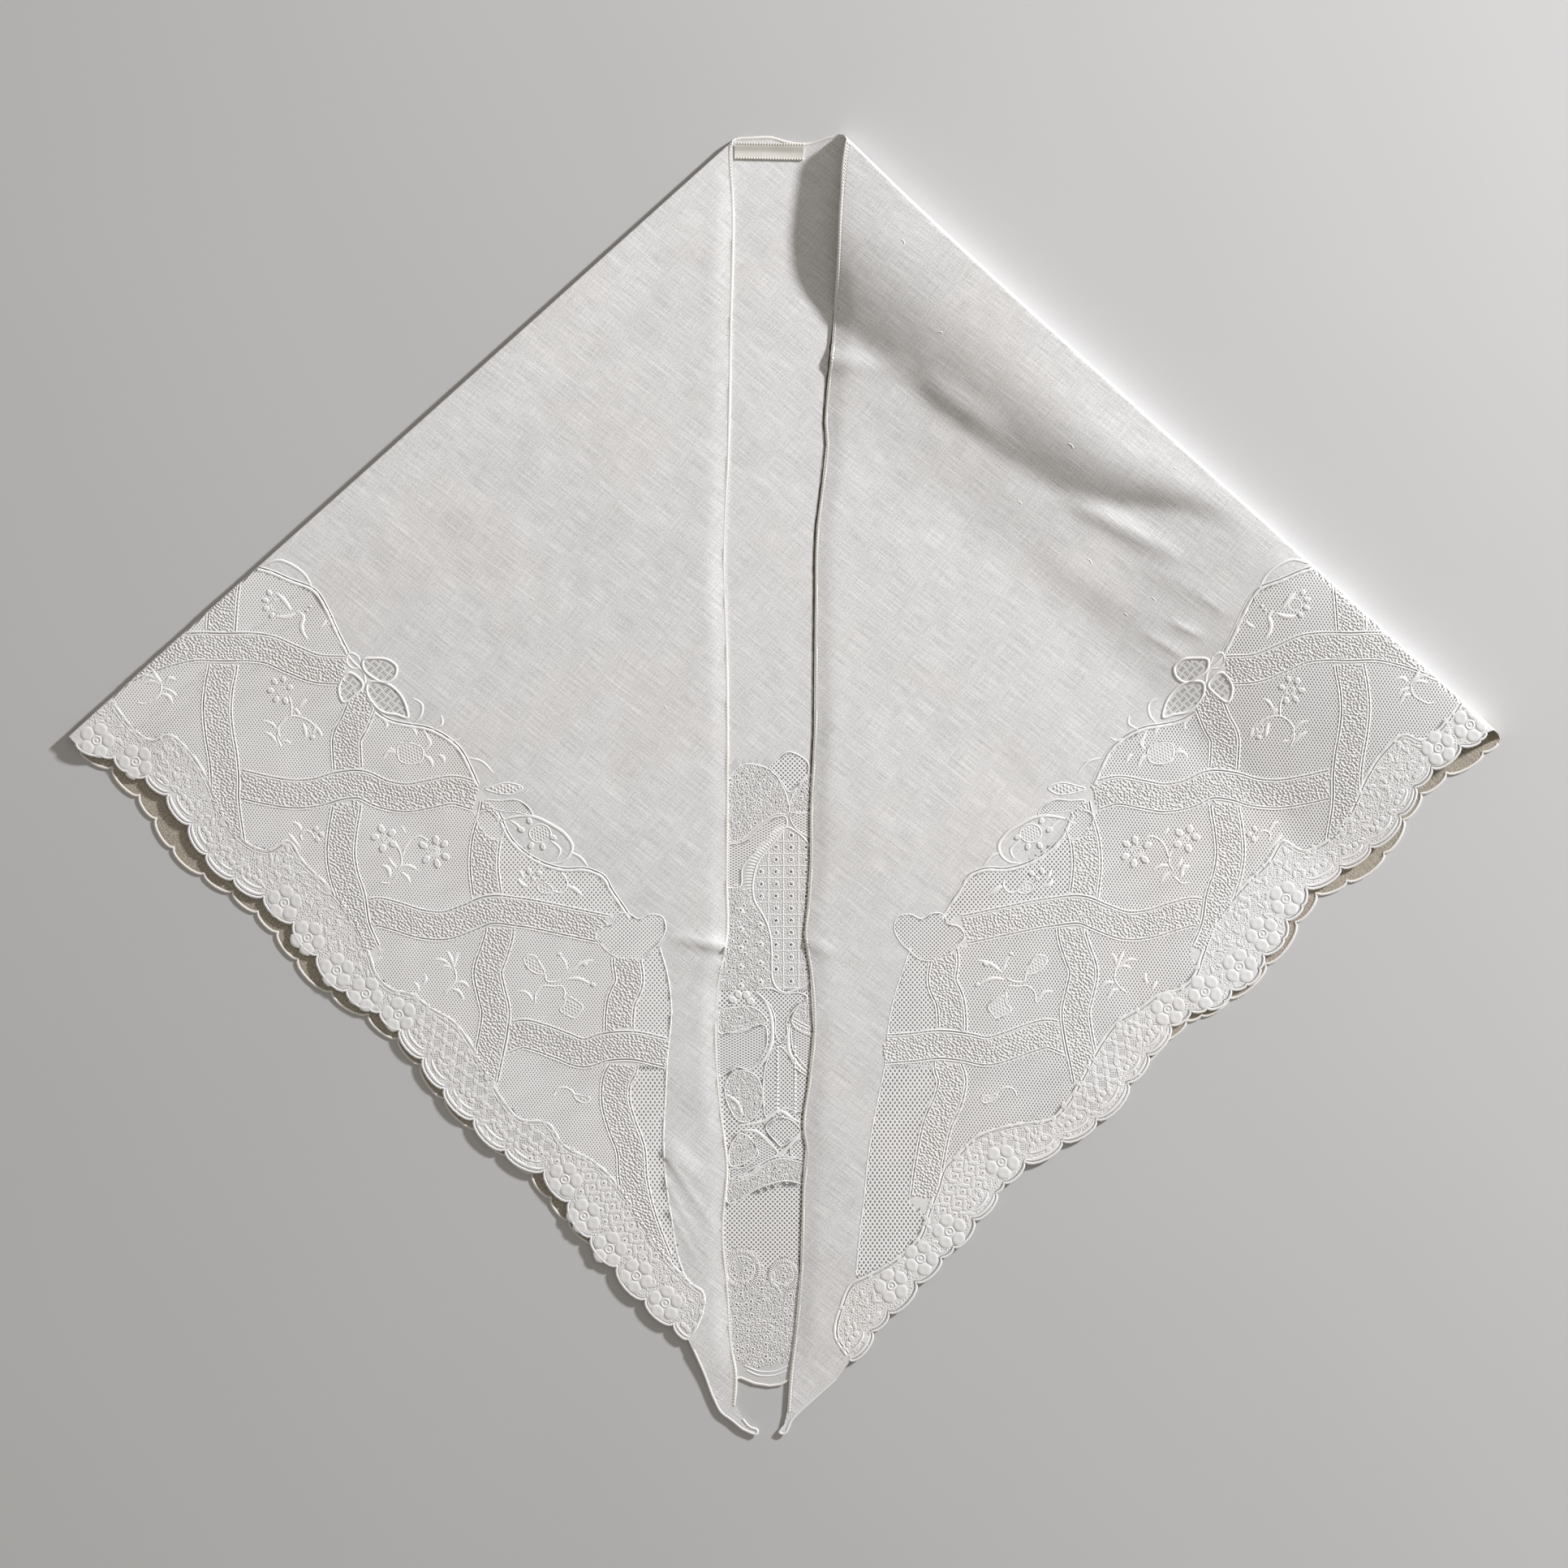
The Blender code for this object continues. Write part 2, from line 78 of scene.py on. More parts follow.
foldLines = {
    "left": {"neck": (-40.1, 322.1), "corner": (-344.6, 49.1), "outside": 1.0},
    "right": {"neck": (43.5, 322.1), "corner": (342.5, 49.1), "outside": 5.4},
}
loopColumns = ["down", "radius", "valley", "crown", "reach", "roll", "power"]
loopRows = {
    "left": [(0, 1.45, 20, 0, 26, 300, 1700), (200, 1.7, 24, 0, 36, 300, 1700),
        (430, 1.5, 20, 0, 26, 300, 1700)],
    "right": [(-10, 4.3, 64, 0, 64, 1000, 3000), (20, 5.3, 66, 0, 80, 1000, 3000),
        (60, 5.9, 68, 0.6, 95, 700, 2400), (126, 5.9, 66, 1, 98, 400, 2600),
        (165, 5.7, 61, 1.4, 98, 400, 3200), (198, 5.6, 52, 1.4, 98, 400, 3200),
        (228, 5.4, 32, 1, 98, 330, 3000), (250, 5.2, 18, 0.4, 98, 80, 2400),
        (268, 5.1, 14, 0.2, 100, 0, 1700), (340, 5, 14, 0, 104, 0, 1700), (440, 4.4, 14, 0, 106, 0, 1700)],
}
leftHem = [
    (-27.3, 333.2), (-26.3, 301), (-27.5, 238), (-28.8, 171), (-30.9, 120.5), (-29.6, 70), (-29.2, 7),
    (-29.6, -47.5), (-30, -83), (-33.8, -102), (-35.1, -140), (-32.6, -170.5), (-29.6, -195.5), (-31.7, -232),
    (-29.2, -263), (-27.5, -289), (-24.8, -306), (-25.6, -321),
]
rightHem = [
    (31.6, 334.2), (27.9, 299), (26.3, 263), (24.2, 229), (21.6, 204.5), (20.4, 188), (21.2, 176),
    (19.1, 156), (16.2, 133), (15.3, 87), (14.9, 28), (12.8, -15), (12.8, -39.5), (11.6, -60), (9.9, -77),
    (12.8, -97), (14.5, -127.5), (12, -152.5), (9.2, -180), (10.6, -187.5), (9, -207.5), (7.8, -251),
    (5.3, -281.5), (2.3, -306), (1.1, -324),
]
leftTip = [
    (-21.5, -328), (-18, -332), (-13.9, -333.6), (-14.1, -336), (-20.5, -334.6), (-28, -329), (-33.4, -325),
    (-37.2, -318), (-42.2, -305), (-47.7, -292.5),
]
rightTip = [
    (-0.6, -331), (-3.6, -335.4), (-0.9, -336.4), (3.6, -329), (17.9, -315.6), (26.3, -308),
]
neckEdge = [
    (-25, 335.2), (-17.8, 335.4), (-5.2, 335.2), (-1.1, 333.9), (4.4, 332.6), (12, 332.4), (17.8, 334),
    (22.9, 335.6), (27.4, 336),
]
scallopCusps = {
    "left front": [(-366.9, 21.4), (-354.3, 15.5), (-347.1, 14.3), (-340.8, 6.7), (-330.8, 4.2),
        (-319.4, -5), (-308.1, -20.6), (-299.7, -36.1), (-285.4, -48.9), (-269.8, -57.8), (-254.3, -71.4),
        (-242.1, -88.2), (-227, -106.7), (-215.7, -115.5), (-209.8, -117.6), (-199.7, -126.8),
        (-187.5, -141.5), (-176.6, -157.1), (-161.1, -173), (-145.1, -189), (-124.5, -199.5),
        (-111.9, -215.5), (-100.6, -234.1), (-87.1, -249.1), (-72.5, -266.3), (-57.8, -279.3),
        (-50.2, -287.1)],
    "left back": [(-367.7, 22.3), (-365.2, 18.1), (-348.4, 8.8), (-334.5, -5.9), (-326.1, -17.6),
        (-316.9, -32.8), (-300.9, -46.2), (-286.2, -55.4), (-273.2, -65.9), (-263.1, -76.4), (-252.6, -90.3),
        (-235, -107.1), (-216.1, -118.9), (-200.5, -131.5), (-188.8, -144.9), (-176.2, -162.5),
        (-158.5, -178.5), (-142.6, -191.9), (-131.2, -201.2), (-121.6, -213.8), (-112.3, -225.5),
        (-93.9, -239), (-78.8, -254.1), (-65.3, -266.7), (-51.9, -278), (-37.6, -289.4), (-22.9, -307.4)],
    "right front": [(361.8, 26.9), (358.9, 23.1), (348.4, 20.2), (333.7, 8.4), (325.3, -1.3), (317.7, -16),
        (302.6, -32.3), (287.5, -42.8), (269, -53.1), (267.8, -62.6), (258.9, -70.1), (258.1, -79.8),
        (247.2, -87.8), (245.9, -94.9), (238.8, -103.7), (230.6, -105.6), (227.8, -112.3), (218.2, -115.9),
        (209.8, -117), (199.3, -124.5), (187.9, -139.9), (177.4, -154.1), (161.1, -173.5), (143.4, -184.4),
        (123.7, -195.1), (113.2, -206.2), (109.4, -211), (97.6, -225.1), (87.1, -239.6), (80.8, -244.6),
        (67.8, -257.5), (53.5, -273.4), (45.1, -282.7), (33.4, -298.2)],
    "right back": [(369, 21.4), (361.4, 16.8), (342.1, 5.9), (329.1, -4.6), (320.2, -18.1), (310.2, -35.3),
        (290.8, -50), (274.9, -56.3), (264.4, -71), (248.8, -92.8), (229.5, -110.5), (215.2, -119.7),
        (207.7, -122.2), (195.5, -132.3), (178.3, -147.4), (161.5, -165.1), (139.7, -179.3), (121.2, -190.3),
        (108.6, -205.4), (91.8, -224.7), (77.5, -242.3), (60.7, -258.3), (43, -276.8), (28.8, -291.9),
        (14.5, -302.8), (1.5, -308.3)],
}
backPoint = [(-16.0, -310.4), (-8.0, -311.6), (-2.0, -310.8)]
scallopDepths = {"front": 0.21, "back": 0.17}

# Creases in the fronts: where they start and end, how high, and half how wide.
creaseRows = [
    ((-31, -84.5), (-57, -79), 2, 2.6), ((-32, -95), (-52, -92), 0.8, 5), ((118, 176), (66, 214), 1.5, 6),
    ((138, 152), (214, 112), 2.2, 4.6), ((24, 220), (60, 214), 1.4, 5), ((12.5, -82), (28, -88), 0.7, 2.8),
    ((176, 118), (238, 88), 0.8, 5), ((196, 85.6), (219, 75), 0.8, 1.6), ((180, 82), (211, 63.5), 0.5, 1.4),
    ((210, 100), (232, 84.5), 0.45, 1.3), ((120, 128), (196, 82), 0.6, 9), ((-58, -190), (-36, -212), 0.9, 4),
    ((-61, -193), (-35, -232), 0.5, 1.5), ((-62, -205), (-40, -245), 0.35, 1.5),
    ((-60, -220), (-42, -252), 0.3, 1.3),
]


def smoothStep(value):
    value = np.clip(value, 0.0, 1.0)
    return value * value * (3 - 2 * value)


def fallAway(share, power):
    softness = clothShape["footSoftness"]
    return softness * np.logaddexp(0, (1 - share**power) / softness)


def gapTo(points, line, closed=False):  # distance of each point to a line of points
    line = np.asarray(line, float)
    starts, ends = (line, np.roll(line, -1, axis=0)) if closed else (line[:-1], line[1:])
    nearest = np.full(len(points), np.inf)
    for a, b in zip(starts, ends):
        run = b - a
        share = np.clip((points - a) @ run / max(run @ run, 1e-12), 0, 1)
        offset = points - a - share[:, None] * run
        nearest = np.minimum(nearest, offset[:, 0] ** 2 + offset[:, 1] ** 2)
    return np.sqrt(nearest)


def within(points, polygon):  # whether each point is inside a closed line
    polygon = np.asarray(polygon, float)
    inside = np.zeros(len(points), bool)
    for a, b in zip(polygon, np.roll(polygon, -1, axis=0)):
        if a[1] != b[1]:
            spans = (a[1] > points[:, 1]) != (b[1] > points[:, 1])
            crossing = a[0] + (points[:, 1] - a[1]) * (b[0] - a[0]) / (b[1] - a[1])
            inside ^= spans & (points[:, 0] < crossing)
    return inside


class Fold:  # one slanting fold, and the loop in which the cloth turns over it
    def __init__(self, name):
        row = foldLines[name]
        neck, corner = (np.array(row[key]) * mm for key in ("neck", "corner"))
        self.along = (corner - neck) / np.linalg.norm(corner - neck)
        inward = np.array([self.along[1], -self.along[0]])
        self.inward = inward * np.sign(inward @ (middlePoint - neck))
        self.start = neck - self.inward * row["outside"] * mm
        table = np.array(loopRows[name], float) * mm
        self.columns = dict(zip(loopColumns, table.T))

    def split(self, points):  # how far down the fold, and how far outside its line
        offset = points - self.start
        return offset @ self.along, -(offset @ self.inward)

    def read(self, column, down):
        stations, values = self.columns["down"], self.columns[column]
        slopes = np.gradient(values, stations)
        place = np.clip(np.searchsorted(stations, down) - 1, 0, len(values) - 2)
        span = stations[place + 1] - stations[place]
        t = np.clip((down - stations[place]) / span, 0, 1)
        start, end = values[place], values[place + 1]
        bends = slopes[place] * (1 - t) - slopes[place + 1] * t
        return start + (end - start) * smoothStep(t) + span * t * (1 - t) * bends

    def lift(self, down, past, top):
        share = past / self.read("valley", down)
        slope = fallAway(past / self.read("reach", down), clothShape["slopePower"])
        weight = self.read("roll", down)
        crown = self.read("crown", down) * np.sin(math.pi * np.clip(share, 0, 1)) ** 2
        drop = fallAway(share, self.read("power", down))
        return top * (weight * drop + (1 - weight) * slope) + crown

    def mirror(self, points):
        points = np.asarray(points, float)
        out = -((points - self.start) @ self.inward)
        return points + 2 * out[:, None] * self.inward


folds = {"left": Fold("left"), "right": Fold("right")}
hemPath = np.concatenate([
    folds["left"].mirror(np.array(leftHem[::-1]) * mm), np.array(neckEdge) * mm,
    folds["right"].mirror(np.array(rightHem) * mm),
])


def creaseHeight(laid):
    total = np.zeros(len(laid))
    for start, end, height, half in creaseRows:
        start, run = np.array(start) * mm, (np.array(end) - np.array(start)) * mm
        share = np.clip((laid - start) @ run / (run @ run), 0, 1)
        gap = np.linalg.norm(laid - start - share[:, None] * run, axis=1)
        crest = height * mm * (1 - (1 - clothShape["creaseEndShare"]) * share)
        if start[0] > 60 * mm:  # away from the hem, both ends fade out
            crest = height * mm * smoothStep(share * 2.2 + 0.05) * smoothStep((1 - share) * 2.6 + 0.05)
        total += crest * np.exp(-((gap / (half * mm)) ** 2))
    return total


def ripples(laid):  # the slight unevenness of washed cloth that has lain folded
    x, y = laid[:, 0] / mm, laid[:, 1] / mm
    slow = np.sin(x / 11 + 1.7 * np.sin(y / 23)) * np.cos(y / 14 + 1.3 * np.sin(x / 31))
    quick = np.sin(x / 4.3 - y / 5.1 + 2 * np.sin(y / 17)) * np.cos(y / 6.7 + x / 13)
    return (0.10 * slow + 0.035 * quick) * mm


def frontRest(laid):
    shape = clothShape
    pastBack = smoothStep((shape["backEnd"] - laid[:, 1]) / shape["backEndRun"])
    turn = 2 * math.pi / shape["swellLength"]
    waves = np.sin(turn * laid[:, 0] + 0.9 * np.sin(turn * laid[:, 1])) * np.cos(turn * 0.8 * laid[:, 1])
    base = shape["frontHeight"] + (shape["tipHeight"] - shape["frontHeight"]) * pastBack
    swell = shape["swellHeight"] * (0.5 + 0.5 * waves) + ripples(laid)
    high = base + swell * (1 - pastBack) + creaseHeight(laid)
    hemGap = np.minimum(gapTo(laid, np.array(leftHem) * mm), gapTo(laid, np.array(rightHem) * mm))
    held = (1 - smoothStep(hemGap / shape["frontHemRun"])) * (1 - pastBack)
    return high + held * (shape["frontHemHeight"] - base - swell)


def drape(flat):  # flat places to the middle of the laid cloth
    shape = clothShape
    placed = np.column_stack([flat, np.full(len(flat), shape["backHeight"])])
    for name, fold in folds.items():
        down, out = fold.split(flat)
        radius = fold.read("radius", down)
        turn = out / radius
        over = turn > math.pi / 2
        looped = (turn > -math.pi / 2) & ~over
        narrowed = shape["loopNarrowness"] * np.abs(np.cos(turn)) ** shape["loopSquareness"]
        reach = radius * (math.pi / 2 - narrowed)
        curve = fold.start + down[:, None] * fold.along + reach[:, None] * fold.inward
        placed[looped, :2] = curve[looped]
        raised = np.zeros(len(flat))
        if name == "right":
            rise, share = ((flat - shape["neckLiftFrom"]) / shape["neckLiftRun"]).T
            raised = shape["neckLift"] * smoothStep(share)
            raised = raised * np.minimum(1, 0.06 * np.logaddexp(0, rise / 0.06))
            under = turn <= -math.pi / 2
            placed[under, 2] += raised[under]
        placed[looped, 2] = (shape["backHeight"] + radius * (1 + np.sin(turn))
                             + raised * (1 - np.sin(turn)) / 2)[looped]
        if over.any():
            laid = fold.mirror(flat[over])
            past = out[over] - radius[over] * math.pi / 2
            rest = frontRest(laid)
            top = shape["backHeight"] + 2 * radius[over]
            placed[over, :2] = laid
            placed[over, 2] = rest + fold.lift(down[over], past, top - rest)
    low = (placed[:, 2] < shape["hemRest"]) & (flat[:, 1] > 0.3)  # the neck hem holds the back up
    if low.any():
        near = smoothStep(1 - gapTo(flat[low], hemPath) / shape["hemSlope"])
        placed[low, 2] += near * (shape["hemRest"] - placed[low, 2])
    return placed


def settle(points, where):  # x, y and height above the cloth's middle to the draped cloth
    flat, side = points[:, :2] * mm, 1.0
    if where in folds:
        flat, side = folds[where].mirror(flat), -1.0
    step = 0.05 * mm
    here = drape(flat)
    normal = np.cross(drape(flat + [step, 0]) - here, drape(flat + [0, step]) - here)
    normal /= np.linalg.norm(normal, axis=1, keepdims=True)
    return here + side * points[:, 2:3] * mm * normal


# Lines
def softened(points, step, closed=False):  # a smooth curve through points, at an even spacing
    points = np.asarray(points, float)
    if closed:
        points = np.concatenate([points[-2:], points, points[:3]])
    lengths = np.concatenate([[0], np.cumsum(np.linalg.norm(np.diff(points, axis=0), axis=1))])
    slopes = np.gradient(points, lengths, axis=0)
    first, last = (lengths[2], lengths[-3]) if closed else (0, lengths[-1])
    count = max(2, int(round((last - first) / step)) + 1)
    at = np.linspace(first, last, count)
    place = np.clip(np.searchsorted(lengths, at) - 1, 0, len(points) - 2)
    span = lengths[place + 1] - lengths[place]
    t = ((at - lengths[place]) / span)[:, None]
    span = span[:, None]
    curve = (
        points[place] * (1 - t) ** 2 * (1 + 2 * t) + points[place + 1] * t**2 * (3 - 2 * t)
        + slopes[place] * span * t * (1 - t) ** 2 - slopes[place + 1] * span * t**2 * (1 - t)
    )
    return curve[:-1] if closed else curve


def offsetLine(line, gap):  # the line moved to its left
    along = np.gradient(line, axis=0)
    along /= np.linalg.norm(along, axis=1, keepdims=True)
    return line + gap * np.column_stack([-along[:, 1], along[:, 0]])


def scalloped(name, steps=9):  # laid points along one scalloped edge
    cusps = np.array(scallopCusps[name], float)
    depth = scallopDepths[name.split()[1]]
    points = []
    for start, end in zip(cusps[:-1], cusps[1:]):
        run = end - start
        outward = np.array([run[1], -run[0]])
        outward *= np.sign(outward @ np.array([start[0], clothShape["backEnd"] / mm]))
        for angle in np.linspace(0, math.pi, steps)[:-1]:
            along, share = (1 - math.cos(angle)) / 2, math.sin(angle)
            points.append(start + run * along + outward * depth * share)
    return np.array(points + [cusps[-1]])


def flipped(points, where):  # the chart is drawn for the left front, and the right one is its mirror image
    points = np.array(points, float)
    if where == "right":
        points[:, 0] *= -1
    return points


# The embroidery chart of a front, drawn for the left one
ribbonWidth = 16.5
ribbonRows = {  # each ribbon's middle line, and the ribbons that it ends at
    "sash1": ([(-340, 60), (-329, 65), (-320, 68), (-307, 71), (-291, 71), (-276, 71), (-268, 70),
        (-256, 65), (-243, 60), (-228, 59)], []),
    "post1a": ([(-289, 106), (-290, 100), (-291, 89), (-292, 76)], ["sash1"]),
    "post1b": ([(-291, 66), (-291, 62), (-293, 51), (-294, 39), (-293, 27), (-291, 15), (-290, 5),
        (-290, -7), (-287, -30)], ["sash1"]),
    "sash2": ([(-286, 1), (-281, 0), (-268, -3), (-254, -5), (-242, -4), (-232, -1), (-220, 0), (-208, -5),
        (-196, -7), (-184, -5), (-172, -3), (-160, -6)], ["post1b", "post3a"]),
    "post2a": ([(-217, 48), (-219, 42), (-223, 32), (-227, 24), (-227, 17), (-226, 3)], ["sash2"]),
    "post2b": ([(-227, -6), (-227, -10), (-229, -23), (-230, -36), (-228, -48), (-225, -57), (-222, -74),
        (-217, -86)], ["sash2"]),
    "sash3": ([(-225, -70), (-220, -69), (-212, -66), (-202, -68), (-189, -72), (-176, -73), (-164, -69),
        (-154, -65), (-138, -66), (-112, -71), (-93, -75)], ["post2b"]),
    "post3a": ([(-150, -10), (-151, -15), (-155, -29), (-156, -40), (-154, -60)], ["sash3"]),
    "post3b": ([(-148, -70), (-148, -76), (-151, -87), (-154, -96), (-152, -108), (-150, -117), (-151, -127),
        (-154, -142), (-156, -152)], ["sash3"]),
    "sash4": ([(-150, -134), (-145, -132), (-136, -129), (-127, -131), (-116, -135), (-104, -139),
        (-94, -136), (-80, -135), (-61, -139)], ["post3b"]),
    "post4a": ([(-81, -84), (-82, -90), (-81, -102), (-85, -112), (-86, -120), (-86, -131)], ["sash4"]),
    "post4b": ([(-84, -141), (-84, -146), (-87, -152), (-88, -163), (-85, -175), (-80, -189), (-79, -203),
        (-76, -218), (-70, -236), (-66, -246)], ["sash4"]),
}
innerLines = {  # where the net meets the plain cloth
    "fold": [(-277, 112), (-268, 110), (-256, 105), (-244, 100), (-237, 89), (-233, 80), (-227, 68)],
    "upper": [(-212, 37), (-208, 34), (-194, 30), (-187, 29), (-176, 24), (-169, 18), (-164, 9), (-160, 0)],
    "middle": [(-149, -15), (-143, -27.9), (-123, -42.3), (-115, -44.3), (-102, -44.7), (-94, -48.7),
        (-90.9, -54.4), (-86, -61.6), (-81, -69)],
    "margin": [(-65, -84), (-61, -98), (-59, -115), (-61, -140), (-62, -161), (-63, -182), (-62, -203),
        (-59, -224), (-54, -249), (-50, -258)],
}
bandLine = [
    (-352, 47), (-348, 43), (-343, 36), (-335, 27), (-328, 23), (-320, 26), (-308, 17), (-299, 3),
    (-292, -13), (-284, -25), (-277, -31), (-268, -34), (-257, -29), (-250, -39), (-238, -51), (-229, -61),
    (-221, -73), (-215, -88), (-211, -99), (-203, -106), (-194, -108), (-184, -115), (-171, -123),
    (-162, -135), (-156, -146), (-147, -162), (-137, -173), (-123, -175), (-115, -186), (-99, -195),
    (-91, -202), (-81, -215), (-74, -227), (-64, -241), (-54, -253), (-46, -260),
]
innerEnds = {
    "left": [(-43, -262), (-42, -268), (-44, -276), (-48, -284)],
    "right": [(-35.5, -257), (-28.8, -269), (-25.8, -286), (-31.5, -295)],
}
ownLines = {  # where the right front differs from the mirror image of the left one
    "left": {},
    "right": {
        "sash4": ribbonRows["sash4"][0][:5] + [(-104, -138), (-94, -136), (-80, -134.5), (-65, -136),
            (-51, -137)],
        "post4b": [(-84, -141), (-84, -146), (-86, -152), (-85, -160), (-78.5, -176), (-75, -192),
            (-73, -205), (-72, -213)],
        "margin": [(-65, -84), (-62.7, -90.6), (-56.4, -109.6), (-53.5, -123.9), (-51.6, -144.5),
            (-48.4, -160.4), (-45.2, -176.2), (-42.5, -195.3), (-40.5, -215.9), (-38.1, -236.5),
            (-36.5, -254)],
        "band": bandLine[:-9] + [(-124, -175), (-110.3, -177.7), (-97.7, -182.7), (-89.7, -190.5),
            (-81.7, -198.2), (-78.5, -207.9), (-73.7, -220.5), (-69, -234), (-60, -243), (-48, -251),
            (-38, -256)],
    },
}
flowerPlaces = {
    "left": [(-356, 23), (-336, 12), (-259, -61), (-247, -79), (-232, -96), (-217, -108), (-200, -119),
        (-114, -204), (-104, -223), (-91, -240), (-77, -254), (-62, -268)],
    "right": [(353, 31), (337, 19), (259, -59), (247, -77), (235, -94), (217, -107), (198, -116),
        (112, -195), (85, -231), (70, -245), (55, -259)],
}
# Small worked shapes on the fronts and the strip: what fills each, its pitch, and its outline.
leafRows = [
    ("bobble", 1.9, [(-155.1, -1.8), (-151.1, -0.6), (-143.1, 1), (-135.9, -1.8), (-139.9, -4.6),
        (-147.1, -4.6)]),
    ("net", 1.5, [(-155.1, -8.6), (-147.1, -8.2), (-139.1, -7.8), (-133.5, -11), (-130.7, -15.4),
        (-139.1, -14.2), (-147.1, -13.4), (-152.7, -11)]),
    ("net", 1.6, [(-159.2, -16.6), (-157.5, -14.2), (-153.5, -13.4), (-149.5, -16.6), (-146.3, -21.4),
        (-147.1, -27.9), (-151.9, -27.9), (-156.7, -23.8)]),
    ("basket", 3.3, [(-218.4, 64.4), (-212.5, 65.4), (-204.7, 64.2), (-201, 60.8), (-201.7, 56.5),
        (-207.5, 52.6), (-212.6, 55), (-218.4, 60.8)]),
    ("basket", 3.3, [(-216.2, 52.2), (-206.1, 52.2), (-199.6, 47.1), (-196, 39.8), (-195.3, 34.8),
        (-201, 36.2), (-208.3, 37.7), (-212.6, 41.3), (-216.2, 47.1)]),
    ("basket", 3.3, [(-225.6, 57.9), (-218.4, 51.4), (-222.7, 46.4), (-228.5, 42.7), (-231, 50)]),
    ("net", 1.7, [(-61.8, -73.4), (-63.4, -68.6), (-69.8, -67), (-76.1, -69.4), (-80.9, -66.7), (-87.2, -67),
        (-89.6, -71.8), (-95.2, -73.4), (-98.3, -78.1), (-95.2, -82.9), (-87.2, -89.2), (-82.5, -90.8),
        (-74.5, -90), (-69.8, -86), (-65, -81.3)]),
    ("grain", 1.6, [(-132.5, -25), (-130.8, -21.6), (-127, -20.4), (-123.2, -21.6), (-121.2, -25),
        (-123.2, -28.6), (-127, -29.9), (-130.8, -28.6)]),
    ("grain", 1.6, [(-200.2, 20.6), (-187.4, 18), (-188.2, 12.4), (-199.6, 12.6)]),
    ("grain", 1.7, [(-135.2, -89.4), (-130.1, -88.3), (-127, -92.3), (-124.6, -97.7), (-129.4, -97.4),
        (-133.2, -94.6)]),
    ("grain", 1.7, [(-113.1, -109.3), (-109.1, -111.1), (-104.8, -115.4), (-107, -118.4), (-108.8, -120.9),
        (-111.6, -119.8), (-113.9, -118.9), (-116.7, -116), (-114.4, -113.6)]),
    ("grain", 1.7, [(-128.3, -52.1), (-125.4, -50.3), (-121.8, -52.1), (-120, -55), (-124, -56.3),
        (-127.6, -54.6)]),
    ("grain", 1.7, [(-109.6, -160.1), (-105.2, -160.8), (-100.9, -161.9), (-102.3, -164.4),
        (-106.7, -163.7)]),
]
knotRow = 6
